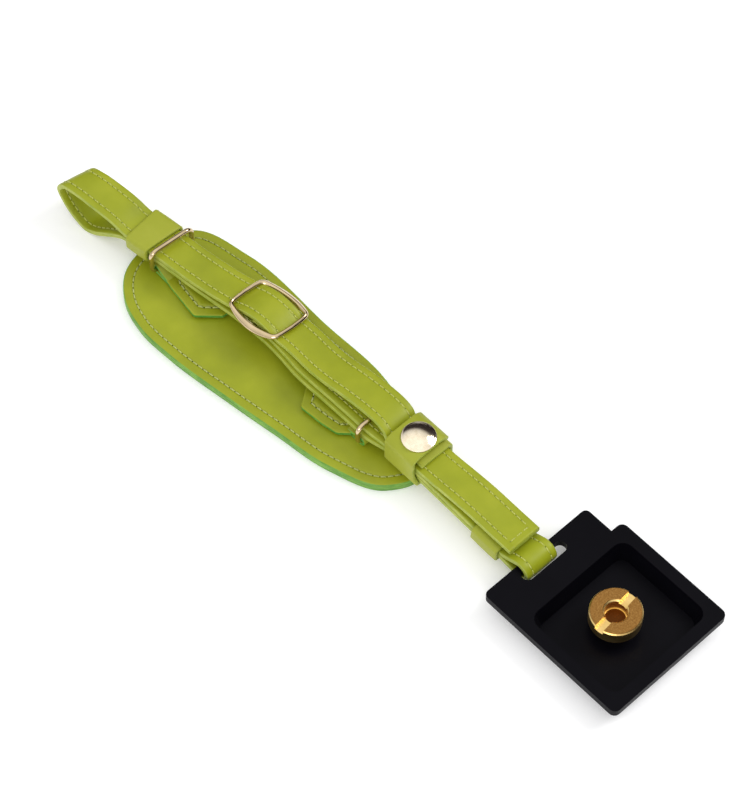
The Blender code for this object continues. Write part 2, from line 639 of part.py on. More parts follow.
def make_tab(name, ring_x, shift, direction, group, leather):
    """A pointed leather tab sewn to the pad, with its neck folded round the ring's foot."""
    eye = arc_stations(
        0.0, RING_FOOT_Z, TAB_EYE_RADIUS, math.radians(55.0), math.radians(270.0), 12)
    profile = [
        (TAB_LENGTH, TAB_HIGH_Z, TAB_TIP_WIDTH),
        (TAB_SHOULDER, TAB_HIGH_Z, TAB_SHOULDER_WIDTH),
        (TAB_SHOULDER / 2, TAB_HIGH_Z, (TAB_SHOULDER_WIDTH + TAB_NECK_WIDTH) / 2 + 0.3 * MM),
        (TAB_EYE_RADIUS * 3.4, TAB_HIGH_Z, TAB_NECK_WIDTH + 1.2 * MM),
        (TAB_EYE_RADIUS * 2.5, TAB_HIGH_Z + TAB_EYE_RADIUS * 0.12, TAB_NECK_WIDTH),
        (TAB_EYE_RADIUS * 1.5, TAB_HIGH_Z + TAB_EYE_RADIUS * 0.62, TAB_NECK_WIDTH),
    ]
    profile += [(x, z, TAB_NECK_WIDTH) for x, z in eye]
    profile.append((TAB_UNDERLAP, TAB_LOW_Z, TAB_NECK_WIDTH))
    stations = [(ring_x + direction * x, z, shift, width, 1.0) for x, z, width in profile]
    tab = leather_ribbon(name, stations, TAB_LEATHER, TAB_EDGE, group)
    tab.data.materials.append(leather)
    return tab


def make_ring(name, ring_x, shift, group, metal):
    """A rectangular wire ring, standing on its foot, with its origin on the foot's axis."""
    half_width = RING_WIDTH / 2 + WIRE / 2
    rise = RING_HEAD_Z - RING_FOOT_Z
    corners = [(-half_width, 0.0), (half_width, 0.0), (half_width, rise), (-half_width, rise)]
    path = rounded_corners(corners, RING_CORNER)
    curve = bpy.data.curves.new(name, "CURVE")
    curve.dimensions = "3D"
    curve.bevel_depth = WIRE / 2
    curve.bevel_resolution = 3
    spline = curve.splines.new("POLY")
    spline.points.add(len(path) - 1)
    for point, (y, z) in zip(spline.points, path):
        point.co = (0.0, y, z, 1.0)
    spline.use_cyclic_u = True
    ring = bpy.data.objects.new(name, curve)
    group.objects.link(ring)
    place_on_strap(ring, ring_x, shift)
    ring.location.z = RING_FOOT_Z
    curve.materials.append(metal)
    return ring


def make_slider(group, guides, metal, around=56, section=12):
    """The slider: a bowed frame with deep convex sides, thin ends and a round middle bar."""
    bm = bmesh.new()
    side_z = SLIDER_BAR_Z + SLIDER_SIDE_HEIGHT / 2 - 0.3 * MM
    rings = []
    for step in range(around):
        angle = 2 * math.pi * (step + 0.5) / around
        cosine = math.cos(angle)
        sine = math.sin(angle)
        spread = (abs(cosine) ** SLIDER_SQUARENESS + abs(sine) ** SLIDER_SQUARENESS)
        reach = spread ** (-1.0 / SLIDER_SQUARENESS)
        middle = Vector((SLIDER_REACH * cosine * reach, SLIDER_SIDE * sine * reach, 0.0))
        outward = Vector((cosine * abs(cosine) ** 3 / SLIDER_REACH,
                          sine * abs(sine) ** 3 / SLIDER_SIDE, 0.0)).normalized()
        sideness = abs(sine) ** 4 * math.cos(math.pi / 2 * min(abs(middle.x) / SLIDER_REACH, 1.0))
        half_width = (SLIDER_END_WIDTH + (SLIDER_SIDE_WIDTH - SLIDER_END_WIDTH) * sideness) / 2
        half_height = (SLIDER_END_HEIGHT + (SLIDER_SIDE_HEIGHT - SLIDER_END_HEIGHT) * sideness) / 2
        middle.z = SLIDER_END_Z + (side_z - SLIDER_END_Z) * sideness
        ring = []
        for corner in range(section):
            turn = 2 * math.pi * corner / section
            offset = outward * half_width * math.cos(turn)
            offset.z = half_height * math.sin(turn)
            ring.append(bm.verts.new(middle + offset))
        rings.append(ring)
    for step in range(around):
        here = rings[step]
        there = rings[(step + 1) % around]
        for corner in range(section):
            following = (corner + 1) % section
            bm.faces.new((here[corner], there[corner], there[following], here[following]))
    slider = mesh_object("slider_buckle", bm, group)
    bm = bmesh.new()
    bmesh.ops.create_cone(
        bm, cap_ends=True, segments=16, radius1=SLIDER_BAR / 2, radius2=SLIDER_BAR / 2,
        depth=2 * SLIDER_SIDE, matrix=Matrix.Rotation(math.pi / 2, 4, "X"))
    bar = mesh_object("slider_middle_bar", bm, guides)
    bar.location.z = SLIDER_BAR_Z
    bar.parent = slider
    add_boolean(slider, bar, "UNION")
    place_on_strap(slider, SLIDER_X)
    slider.data.materials.append(metal)
    shade_round(slider)
    return slider


def make_keeper(name, x, length, middle_z, slope, group, leather):
    """A plain leather sleeve round two layers of strap, lying at their slope."""
    half_width = STRAP_WIDTH / 2 + GAP
    half_height = (LAYER + STRAP_THICKNESS) / 2 + GAP
    corners = [
        (-half_width, -half_height), (half_width, -half_height),
        (half_width, half_height), (-half_width, half_height),
    ]
    section = rounded_corners(corners, KEEPER_CORNER - KEEPER_LEATHER, steps=3)
    bm = bmesh.new()
    ends = [
        [bm.verts.new((end, y, z)) for y, z in section]
        for end in (-length / 2, length / 2)
    ]
    count = len(section)
    for index in range(count):
        following = (index + 1) % count
        bm.faces.new((ends[0][index], ends[1][index], ends[1][following], ends[0][following]))
    keeper = mesh_object(name, bm, group)
    solidify = keeper.modifiers.new("Leather thickness", "SOLIDIFY")
    solidify.thickness = KEEPER_LEATHER
    solidify.offset = 1.0
    solidify.use_even_offset = True
    add_bevel(keeper, KEEPER_EDGE)
    place_on_strap(keeper, x)
    keeper.location.z = middle_z
    keeper.rotation_euler.y = -math.atan(slope)
    keeper.data.materials.append(leather)
    return keeper


def band_levels():
    """Heights of the band's leather: beneath the strap, under the flap, flap edge and flap top."""
    low = RETURN_BAND_Z - HALF_STRAP - GAP - BAND_LEATHER / 2
    under = TAIL_BAND_Z + HALF_STRAP + 2 * BLEND + POST_FLANGE + BLEND + BAND_LEATHER / 2
    edge = under + BAND_LEATHER + GAP
    top = under + BAND_LEATHER + STUD_ROOM
    return low, under, edge, top


def make_band(group, guides, leather):
    """The press-stud band: once round the strap, its flap closing over its own underlap."""
    low, under, edge, top = band_levels()
    side = STRAP_WIDTH / 2 + GAP + BAND_LEATHER / 2
    wrap = [(-side + BAND_UNDERLAP, under), (side, under), (side, low), (-side, low), (-side, edge)]
    path = rounded_corners(wrap, BAND_CORNER - BAND_LEATHER / 2, closed=False)
    flap = rounded_corners([
        (-side + GAP, edge + 2 * GAP), (-0.9 * CAP_RADIUS, top), (0.9 * CAP_RADIUS, top),
        (side, edge + 2 * BLEND),
    ], FLAP_BEND_RADIUS, closed=False)
    path = path[:-1] + flap
    near_side = len(path) - len(flap) - 1
    bm = bmesh.new()
    rows = []
    for index, (y, z) in enumerate(path):
        end = BAND_WIDTH / 2 if index <= near_side else FLAP_WIDTH - BAND_WIDTH / 2
        rows.append((bm.verts.new((-BAND_WIDTH / 2, y, z)), bm.verts.new((end, y, z))))
    for before, after in zip(rows, rows[1:]):
        bm.faces.new((before[0], after[0], after[1], before[1]))
    band = mesh_object("snap_band", bm, group)
    solidify = band.modifiers.new("Leather thickness", "SOLIDIFY")
    solidify.thickness = BAND_LEATHER
    solidify.offset = 0.0
    solidify.use_even_offset = True
    for name, height in (("flap_hole", top), ("underlap_hole", under)):
        bm = bmesh.new()
        bmesh.ops.create_cone(
            bm, cap_ends=True, segments=20, radius1=POST_RADIUS + GAP, radius2=POST_RADIUS + GAP,
            depth=BAND_LEATHER + 2 * BLEND + GAP)
        hole = mesh_object(name, bm, guides)
        hole.location.z = height
        hole.parent = band
        add_boolean(band, hole, "DIFFERENCE")
    place_on_strap(band, BAND_X)
    band.data.materials.append(leather)
    return band


def make_press_stud(group, metal):
    """The four metal pieces of the press stud: cap, socket, stud and post."""
    low, under, edge, top = band_levels()
    middle, across = strap_frame(BAND_X)
    seat = top + BAND_LEATHER / 2 + BLEND
    gap_low = under + BAND_LEATHER / 2
    gap_high = top - BAND_LEATHER / 2
    nub_top = gap_low + GAP + STUD_FLANGE + SOCKET_HEIGHT / 2
    post_tip = nub_top - STUD_FLANGE - GAP
    dome = []
    for step in range(8):
        angle = math.pi / 2 * step / 8
        dome.append((CAP_RADIUS * math.sin(angle),
                     seat + CAP_RIM + (CAP_HEIGHT - CAP_RIM) * math.cos(angle)))
    cap = turned("snap_cap", dome + [
        (CAP_RADIUS, seat + CAP_RIM), (CAP_RADIUS - 0.15 * MM, seat),
        (POST_RADIUS, seat), (POST_RADIUS, nub_top + GAP), (0.0, nub_top + GAP),
    ], middle, group)
    socket_low = gap_high - BLEND - SOCKET_HEIGHT
    socket = turned("snap_socket", [
        (SOCKET_RADIUS, gap_high - BLEND), (SOCKET_RADIUS, socket_low),
        (NUB_RADIUS + GAP, socket_low), (NUB_RADIUS + GAP, gap_high - BLEND),
        (SOCKET_RADIUS, gap_high - BLEND),
    ], middle, group)
    stud = turned("snap_stud", [
        (0.0, nub_top), (NUB_RADIUS - 0.3 * MM, nub_top), (NUB_RADIUS, nub_top - 0.3 * MM),
        (NUB_RADIUS - 0.2 * MM, gap_low + BLEND + STUD_FLANGE),
        (SOCKET_RADIUS, gap_low + BLEND + STUD_FLANGE), (SOCKET_RADIUS, gap_low + BLEND),
        (POST_RADIUS + GAP / 2, gap_low + BLEND), (POST_RADIUS + GAP / 2, post_tip + GAP / 2),
        (0.0, post_tip + GAP / 2),
    ], middle, group)
    post_low = under - BAND_LEATHER / 2 - BLEND - POST_FLANGE
    post = turned("snap_post", [
        (0.0, post_tip - GAP / 2), (POST_RADIUS - 0.15 * MM, post_tip - GAP / 2),
        (POST_RADIUS - 0.05 * MM, post_low + POST_FLANGE),
        (POST_FLANGE_RADIUS, post_low + POST_FLANGE), (POST_FLANGE_RADIUS, post_low),
        (0.0, post_low),
    ], middle, group)
    for piece in (cap, socket, stud, post):
        piece.data.materials.append(metal)
        shade_round(piece)


def make_plate(group, guides, plastic, rubber):
    """The base plate: a shallow tray with a strap ear, undercut body and a rubber camera seat."""
    ear_far_y = PLATE_FAR_Y - EAR_NOTCH
    ear = rounded_corners([
        (EAR_START_X, PLATE_NEAR_Y), (PLATE_CENTRE[0], PLATE_NEAR_Y),
        (PLATE_CENTRE[0], ear_far_y), (EAR_START_X, ear_far_y),
    ], EAR_CORNER)
    low_rim = PLATE_HEIGHT - FLANGE_THICKNESS
    tray = rounded_corners(rectangle(PLATE_CENTRE, PLATE_LENGTH, PLATE_WIDTH), PLATE_CORNER)
    plate = outline_plate("base_plate", tray, low_rim, PLATE_HEIGHT, group)
    ear_plate = outline_plate("plate_ear", ear, low_rim, PLATE_HEIGHT, guides)
    body_top = rounded_corners(rectangle(
        PLATE_CENTRE, PLATE_LENGTH - 2 * FLANGE_LIP, PLATE_WIDTH - 2 * FLANGE_LIP), PLATE_CORNER)
    body_low = rounded_corners(rectangle(
        PLATE_CENTRE, PLATE_LENGTH - 2 * BODY_TAPER, PLATE_WIDTH - 2 * BODY_TAPER), PLATE_CORNER)
    body = tapered_block("plate_body", body_low, body_top, BODY_Z, low_rim + BLEND, guides)
    recess_low = rounded_corners(rectangle(
        PLATE_CENTRE, RECESS_LENGTH - 2 * RECESS_DRAFT, RECESS_WIDTH - 2 * RECESS_DRAFT),
        RECESS_CORNER - RECESS_DRAFT / 2)
    depth = PLATE_HEIGHT - FLOOR_Z
    above = 1.0 * MM
    spread = RECESS_DRAFT * above / depth
    recess_top = rounded_corners(rectangle(
        PLATE_CENTRE, RECESS_LENGTH + 2 * spread, RECESS_WIDTH + 2 * spread), RECESS_CORNER)
    recess = tapered_block(
        "plate_recess", recess_low, recess_top, FLOOR_Z, PLATE_HEIGHT + above, guides)
    slot_outline = rounded_corners(rectangle(
        (SLOT_X, SLOT_Y), SLOT_WIDTH, SLOT_LENGTH), SLOT_WIDTH / 2 - BLEND, steps=8)
    slot = outline_plate("plate_slot", slot_outline, low_rim - above, PLATE_HEIGHT + above, guides)
    bm = bmesh.new()
    bmesh.ops.create_cone(
        bm, cap_ends=True, segments=32, radius1=STUD_RADIUS + GAP, radius2=STUD_RADIUS + GAP,
        depth=2 * FLOOR_Z + above)
    hole = mesh_object("plate_hole", bm, guides)
    add_boolean(plate, ear_plate, "UNION")
    add_boolean(plate, body, "UNION")
    for cutter in (recess, slot, hole):
        add_boolean(plate, cutter, "DIFFERENCE")
    plate.data.materials.append(plastic)
    seat_outline = rounded_corners(rectangle(
        PLATE_CENTRE, PLATE_LENGTH - 2 * BODY_TAPER - GAP,
        PLATE_WIDTH - 2 * BODY_TAPER - GAP), PLATE_CORNER)
    seat = outline_plate("rubber_seat", seat_outline, 0.0, RUBBER_THICKNESS, group)
    add_boolean(seat, hole, "DIFFERENCE")
    seat.data.materials.append(rubber)
    return plate


def make_screw(group, guides, brass, steel):
    """The captive screw, raised off the tray's floor, with a coin slot and a quarter-inch socket."""
    top = HEAD_TOP_Z
    bore_low = top - SOCKET_BORE_DEPTH
    screw = turned("tripod_screw", [
        (0.0, bore_low), (SOCKET_BORE_RADIUS, bore_low),
        (SOCKET_BORE_RADIUS, top - SOCKET_CHAMFER), (SOCKET_BORE_RADIUS + SOCKET_CHAMFER, top),
        (HEAD_RADIUS - HEAD_CHAMFER, top), (HEAD_RADIUS, top - HEAD_CHAMFER),
        (HEAD_RADIUS, HEAD_Z + HEAD_CHAMFER), (HEAD_RADIUS - HEAD_CHAMFER, HEAD_Z),
        (STUD_RADIUS, HEAD_Z), (STUD_RADIUS, STUD_TIP_Z + STUD_CHAMFER),
        (STUD_RADIUS - STUD_CHAMFER, STUD_TIP_Z), (0.0, STUD_TIP_Z),
    ], (0.0, 0.0, 0.0), group, steps=48)
    bm = bmesh.new()
    bmesh.ops.create_cube(bm, size=1.0, matrix=Matrix.Diagonal((
        COIN_SLOT_WIDTH, 3 * HEAD_RADIUS, 2 * COIN_SLOT_DEPTH, 1.0)))
    slot = mesh_object("coin_slot", bm, guides)
    slot.location.z = top
    slot.rotation_euler.z = COIN_SLOT_TURN
    add_boolean(screw, slot, "DIFFERENCE")
    screw.data.materials.append(brass)
    inner = STUD_RADIUS + GAP
    washer = turned("screw_washer", [
        (WASHER_RADIUS, WASHER_Z + WASHER_THICKNESS), (WASHER_RADIUS, WASHER_Z),
        (inner, WASHER_Z), (inner, WASHER_Z + WASHER_THICKNESS),
        (WASHER_RADIUS, WASHER_Z + WASHER_THICKNESS),
    ], (0.0, 0.0, 0.0), group)
    washer.data.materials.append(steel)
    for piece in (screw, washer):
        shade_round(piece)


def stand_on_origin(outermost):
    """Moves the whole strap so that its bounding box stands centred on the origin."""
    bpy.context.view_layer.update()
    depsgraph = bpy.context.evaluated_depsgraph_get()
    points = []
    for made in outermost:
        evaluated = made.evaluated_get(depsgraph)
        points += [evaluated.matrix_world @ vert.co for vert in evaluated.data.vertices]
    middle_x = (min(p.x for p in points) + max(p.x for p in points)) / 2
    middle_y = (min(p.y for p in points) + max(p.y for p in points)) / 2
    root = bpy.data.objects.new("strap_root", None)
    bpy.context.scene.collection.objects.link(root)
    for made in bpy.data.objects:
        if made.parent is None and made is not root:
            made.parent = root
    root.location = (-middle_x, -middle_y, 0.0)


def main():
    clear_scene()
    group = new_collection("camera_wrist_strap")
    guides = new_collection("guides")
    leather = make_material("lime_leather", LIME, 0.0, 0.45)
    edge_leather = make_material("edge_painted_leather", EDGE_GREEN, 0.0, 0.45)
    foam = make_material("pad_foam", (0.25, 0.30, 0.05), 0.0, 0.9)
    champagne = make_material("champagne_metal", CHAMPAGNE, 1.0, 0.2)
    brass = make_material("turned_brass", BRASS, 1.0, 0.28)
    steel = make_material("washer_steel", (0.05, 0.05, 0.05), 1.0, 0.5)
    plastic = make_material("satin_black_plate", SATIN_BLACK, 0.0, 0.42)
    rubber = make_material("black_rubber", (0.02, 0.02, 0.02), 0.0, 0.8)
    plate = make_plate(group, guides, plastic, rubber)
    make_screw(group, guides, brass, steel)
    pad = make_pad(group, leather, foam, edge_leather)
    make_tab("tab_upper", UPPER_RING_X, 0.0, 1.0, group, leather)
    make_tab("tab_lower", LOWER_RING_X, LOWER_RING_SHIFT, -1.0, group, leather)
    make_ring("ring_upper", UPPER_RING_X, 0.0, group, champagne)
    make_ring("ring_lower", LOWER_RING_X, LOWER_RING_SHIFT, group, champagne)
    strap = make_strap(group, leather)
    make_slider(group, guides, champagne)
    make_keeper(
        "keeper_upper", UPPER_KEEPER_X, UPPER_KEEPER_LENGTH, RETURN_RING_Z + LAYER / 2, 0.0,
        group, leather)
    make_keeper(
        "keeper_lower", LOWER_KEEPER_X, LOWER_KEEPER_LENGTH, RETURN_KEEPER_Z + LAYER / 2,
        RUN_SLOPE, group, leather)
    make_band(group, guides, leather)
    make_press_stud(group, champagne)
    stand_on_origin((plate, pad, strap))


main()
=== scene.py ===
import math

import bmesh
import bpy
import numpy as np
from mathutils import Matrix, Vector


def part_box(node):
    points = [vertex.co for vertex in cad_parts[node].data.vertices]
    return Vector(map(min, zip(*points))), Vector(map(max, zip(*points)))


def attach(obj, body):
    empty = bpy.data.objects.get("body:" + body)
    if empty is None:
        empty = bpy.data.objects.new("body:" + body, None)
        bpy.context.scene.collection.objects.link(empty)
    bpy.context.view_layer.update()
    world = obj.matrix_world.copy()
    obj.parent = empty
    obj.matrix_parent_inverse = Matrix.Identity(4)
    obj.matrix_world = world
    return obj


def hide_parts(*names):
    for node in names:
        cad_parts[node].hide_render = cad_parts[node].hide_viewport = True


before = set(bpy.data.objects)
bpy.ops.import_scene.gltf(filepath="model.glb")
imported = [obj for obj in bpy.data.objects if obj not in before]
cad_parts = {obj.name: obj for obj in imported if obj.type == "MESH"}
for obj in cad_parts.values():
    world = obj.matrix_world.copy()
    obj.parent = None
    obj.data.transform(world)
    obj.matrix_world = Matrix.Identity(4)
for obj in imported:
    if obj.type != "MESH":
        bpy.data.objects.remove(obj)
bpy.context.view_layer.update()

MM = 0.001

# Lengths below are in millimetres in the strap's own frame: the tripod screw's axis is x = y = 0.
PLATE_END_X = 20.9
PLATE_SIDE_Y = 22.5
plate_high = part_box("base_plate")[1]
SHIFT = Vector((plate_high.x / MM - PLATE_END_X, plate_high.y / MM - PLATE_SIDE_Y, 0.0))

GAP = 0.25
STRAP_Y = -3.4
BEND_START_X = -118.0
BEND_LENGTH = 30.0
BEND_SLOPE = 0.124
STRAP_WIDTH = 11.6
STRAP_THICKNESS = 1.7
FOLD_THICKNESS = 1.0
HALF = STRAP_THICKNESS / 2
LAYER = STRAP_THICKNESS + GAP
PAD_TOP = 3.2
TAB_LEATHER = 0.8
WIRE = 1.6
RING_WIDTH = 13.1
RING_CORNER = 2.2
UPPER_RING_X = -174.3
LOWER_RING_X = -89.8
LOWER_RING_SHIFT = -1.6
SLIDER_X = -137.0
SLIDER_REACH = 8.9
SLIDER_SIDE = 7.4
SLIDER_SHIFT = 0.6
UPPER_KEEPER_X = -181.4
UPPER_KEEPER_LENGTH = 9.6
LOWER_KEEPER_X = -41.0
LOWER_KEEPER_LENGTH = 10.0
KEEPER_LEATHER = 1.0
BAND_X = -74.3
BAND_LEATHER = 1.2
BAND_WIDTH = 13.0
FLAP_WIDTH = 11.5
TAB_LOW_Z = PAD_TOP + GAP + TAB_LEATHER / 2
EYE = WIRE / 2 + GAP + TAB_LEATHER / 2
RING_FOOT_Z = TAB_LOW_Z + EYE
TAB_HIGH_Z = TAB_LOW_Z + TAB_LEATHER + GAP
RETURN_RING_Z = RING_FOOT_Z + EYE + TAB_LEATHER / 2 + GAP + HALF
SECOND_RING_Z = RETURN_RING_Z + LAYER
RING_HEAD_SLACK = 0.3
RING_HEAD_Z = SECOND_RING_Z + HALF + GAP + RING_HEAD_SLACK + WIRE / 2
OVER_RING_Z = RING_HEAD_Z + WIRE / 2 + GAP + HALF
SLIDER_SAG = 0.35
RETURN_SLIDER_Z = RETURN_RING_Z - SLIDER_SAG
OUTWARD_SLIDER_Z = RETURN_SLIDER_Z + LAYER
SLIDER_BAR = 1.6
FOLD_RADIUS = SLIDER_BAR / 2 + GAP + FOLD_THICKNESS / 2
SLIDER_BAR_Z = RETURN_SLIDER_Z + HALF + GAP + FOLD_RADIUS + FOLD_THICKNESS / 2
HUMP_Z = SLIDER_BAR_Z + FOLD_RADIUS + FOLD_THICKNESS / 2 + GAP + HALF
UNDER_BAR_Z = OUTWARD_SLIDER_Z + LAYER
SLIDER_END_WIRE = 1.5
SLIDER_END_Z = UNDER_BAR_Z + HALF + GAP + 0.7
BAND_OVER_PAD = 1.5
RETURN_BAND_Z = PAD_TOP + GAP + BAND_OVER_PAD + BAND_LEATHER + GAP + HALF
OUTWARD_BAND_Z = RETURN_BAND_Z + LAYER
TAIL_BAND_Z = OUTWARD_BAND_Z + LAYER
EAR_BAR_X = -28.3
EAR_BAR_Z = 6.75
EAR_BAR_HALF_WIDTH = 1.0
EAR_BAR_HALF_HEIGHT = 1.25
TURN_CLEARANCE = 0.5
TURN_RADIUS = math.hypot(EAR_BAR_HALF_WIDTH, EAR_BAR_HALF_HEIGHT) + TURN_CLEARANCE + HALF
KEEPER_BELOW_BAR = 0.35
RETURN_KEEPER_Z = EAR_BAR_Z - KEEPER_BELOW_BAR - LAYER / 2
RUN_START_X = BAND_X + BAND_WIDTH / 2 + 0.5
RUN_SLOPE = (RETURN_KEEPER_Z - RETURN_BAND_Z) / (LOWER_KEEPER_X - RUN_START_X)
TAIL_KEEPER_Z = RETURN_KEEPER_Z + 2 * LAYER + KEEPER_LEATHER + GAP
TAIL_END_X = -32.3
LOOP_LOW_X = -201.0
LOOP_NOSE_X = -213.0
LOOP_NOSE_Z = 10.4
LOOP_TOP_Z = 14.3
STITCH_INSET = 2.2
UPPER_RISE = 0.9
RING_CLEAR = 0.4
KEEPER_SKEW = 0.17
LOOP_TURN_X = -190.0
LOOP_TURN = 0.30


# Materials

class Finish:
    """A node tree in the making, with the node that shows its result."""

    def __init__(self, owner, shader="Principled BSDF"):
        owner.use_nodes = True
        self.tree = owner.node_tree
        self.shader = self.tree.nodes[shader]

    def fill(self, node, values):
        """Gives a node its inputs: another node's output is linked, a plain value is set."""
        for name, value in values.items():
            if isinstance(value, bpy.types.NodeSocket):
                self.tree.links.new(value, node.inputs[name])
            else:
                node.inputs[name].default_value = value

    def show(self, values):
        self.fill(self.shader, values)

    def add(self, kind, values, result=None, **settings):
        """A new node with its settings and inputs, or the named one of its outputs."""
        node = self.tree.nodes.new("ShaderNode" + kind)
        for name, setting in settings.items():
            setattr(node, name, setting)
        self.fill(node, values)
        return node.outputs[result] if result else node

    def place(self, scale=(1.0, 1.0, 1.0), location=(0.0, 0.0, 0.0)):
        vector = self.add("TexCoord", {}, "Object")
        return self.add("Mapping", {"Vector": vector, "Scale": scale, "Location": location},
                        "Vector")

    def noise(self, vector, scale, detail, roughness):
        return self.add("TexNoise", {"Vector": vector, "Scale": scale, "Detail": detail,
                                     "Roughness": roughness}, "Fac")

    def wave(self, vector, scale, distortion, **settings):
        return self.add("TexWave", {"Vector": vector, "Scale": scale, "Distortion": distortion},
                        "Fac", **settings)

    def ramp(self, factor, stops):
        node = self.add("ValToRGB", {"Fac": factor})
        elements = node.color_ramp.elements
        while len(elements) < len(stops):
            elements.new(0.5)
        for element, (place, colour) in zip(elements, stops):
            element.position = place
            element.color = (*colour, 1.0)
        return node.outputs["Color"]

    def spread(self, factor, low, high):
        return self.add("MapRange", {"Value": factor, "To Min": low, "To Max": high}, "Result")

    def blend(self, value, start, end, first, second):
        """The first colour where a length is at its start in mm, the second at its end."""
        share = self.add("MapRange", {"Value": value, "From Min": start * MM,
                                      "From Max": end * MM}, "Result")
        return self.add("Mix", {"Factor": share, "A": first, "B": second}, "Result",
                        data_type="RGBA")

    def bump(self, height, strength, distance, below=None):
        values = {"Height": height, "Strength": strength, "Distance": distance}
        if below is not None:
            values["Normal"] = below
        normal = self.add("Bump", values, "Normal")
        self.show({"Normal": normal})
        return normal


def surface(name, stops, slow, fine, rough, scale=(1.0, 1.0, 1.0)):
    """A new material: slow noise mixes its colours and fine noise varies its roughness."""
    material = bpy.data.materials.new(name)
    finish = Finish(material)
    place = finish.place(scale)
    grain = finish.noise(place, *fine)
    finish.show({"Base Color": finish.ramp(finish.noise(place, *slow), stops),
                 "Roughness": finish.spread(grain, *rough)})
    return material, finish, place, grain


def leather(name, dark, middle, light, rough=0.46):
    """Smooth finished leather: slow mottling, a fine pebbled grain and hair-fine creases."""
    material, finish, place, _ = surface(
        name, ((0.30, dark), (0.52, middle), (0.74, light)), (70.0, 3.0, 0.55), (900.0, 2.0, 0.6),
        (rough - 0.07, rough + 0.09))
    cells = finish.add("TexVoronoi", {"Vector": place, "Scale": 1300.0}, "Distance",
                       feature="DISTANCE_TO_EDGE")
    below = finish.bump(finish.spread(cells, 0.0, 1.0), 0.25, 0.00006)
    creases = finish.noise(finish.place((1.0, 2.2, 1.0)), 260.0, 4.0, 0.6)
    finish.bump(creases, 0.22, 0.00018, below)
    finish.show({"Specular IOR Level": 0.34, "Coat Weight": 0.09, "Coat Roughness": 0.32,
                 "Sheen Weight": 0.04})
    return material


def painted_edge(name, dark, light):
    """The burnished, painted edge of cut leather, slightly uneven along its length."""
    material, finish, _, grain = surface(
        name, ((0.32, dark), (0.68, light)), (190.0, 3.0, 0.6), (800.0, 3.0, 0.6), (0.36, 0.56),
        (1.0, 1.0, 3.0))
    finish.bump(grain, 0.25, 0.0001)
    return material


def thread(name, dark, light):
    material = bpy.data.materials.new(name)
    finish = Finish(material)
    twist = finish.wave(finish.place(), 900.0, 1.0, bands_direction="DIAGONAL")
    finish.show({"Base Color": finish.ramp(twist, ((0.2, dark), (0.8, light))), "Roughness": 0.6,
                 "Sheen Weight": 0.3})
    finish.bump(twist, 0.4, 0.00005)
    return material


def metal(name, colour, tint, rough_low, rough_high, scale=120.0, scratch=0.06):
    """Plated metal with faint handling marks."""
    material, finish, _, grain = surface(
        name, ((0.35, tint), (0.6, colour)), (scale, 3.0, 0.6), (scale * 5, 4.0, 0.7),
        (rough_low, rough_high))
    finish.show({"Metallic": 1.0})
    finish.bump(grain, scratch, 0.00005)
    return material


def turned_brass():
    """Brass with a lathe's fine rings: a darker mottled bronze on the top face; bright golden
    colour in the slot, on the bore's chamfer and on the edge bevel as painted highlight, and dark
    banded colour inside the bore as painted shade.
    """
    screw_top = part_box("tripod_screw")[1].z / MM
    bore_radius = 3.0
    bore_top = screw_top - 1.7
    bevel_low = screw_top - 0.11
    material = bpy.data.materials.new("turned_brass_finish")
    finish = Finish(material)
    place = finish.place(location=(-SHIFT.x * MM, -SHIFT.y * MM, 0.0))
    rings = finish.wave(place, 420.0, 0.6, wave_type="RINGS", rings_direction="Z")
    lines = finish.wave(place, 520.0, 0.3, bands_direction="Z")
    slow = finish.noise(place, 160.0, 3.0, 0.6)
    bronze = finish.ramp(finish.noise(place, 2300.0, 4.0, 0.75), (
        (0.34, (0.225, 0.105, 0.027)), (0.50, (0.320, 0.155, 0.038)),
        (0.64, (0.430, 0.235, 0.070))))
    # Golden colour: the brass's own colour brightened into painted highlight for the slot, the
    # bore's chamfer and the edge bevel.
    brass_gold_and_painted_highlight = finish.ramp(slow, ((0.3, (0.80, 0.53, 0.17)), (0.7, (1.0, 0.74, 0.31))))
    # Dark banded colour inside the bore: painted shade.
    painted_bore_shade = finish.ramp(lines, ((0.35, (0.10, 0.03, 0.006)), (0.65, (0.50, 0.22, 0.05))))
    split = finish.add("SeparateXYZ", {"Vector": place}).outputs
    flat = finish.add("CombineXYZ", {"X": split["X"], "Y": split["Y"]}, "Vector")
    radius = finish.add("VectorMath", {0: flat}, "Value", operation="LENGTH")
    # Painted shade within the bore's radius, painted highlight on the chamfer around it.
    inside = finish.blend(radius, bore_radius + 0.05, bore_radius - 0.05, brass_gold_and_painted_highlight, painted_bore_shade)
    # Above the bore's top comes the slot's painted highlight, and below it the bore's colours.
    slot_and_bore_painted_light = finish.blend(split["Z"], bore_top + 0.2, bore_top - 0.2, brass_gold_and_painted_highlight, inside)
    # Below the top face's bevel the painted highlight and shade replace the bronze.
    mixed = finish.blend(split["Z"], bevel_low - 0.05, bevel_low + 0.05, slot_and_bore_painted_light, bronze)
    finish.show({"Base Color": mixed, "Roughness": finish.spread(slow, 0.24, 0.4),
                 "Metallic": 1.0})
    below = finish.bump(rings, 0.25, 0.00004)
    finish.bump(lines, 0.3, 0.00005, below)
    return material


def moulded(name, dark, light, rough, grain_scale, depth):
    """A plain moulded, pressed or punched surface with a fine grain; for needle holes its dark
    colour is painted shade.
    """
    material, finish, _, grain = surface(
        name, ((0.3, dark), (0.7, light)), (60.0, 3.0, 0.6), (grain_scale, 3.0, 0.6),
        (rough - 0.06, rough + 0.08))
    finish.bump(grain, depth, 0.00006)
    return material


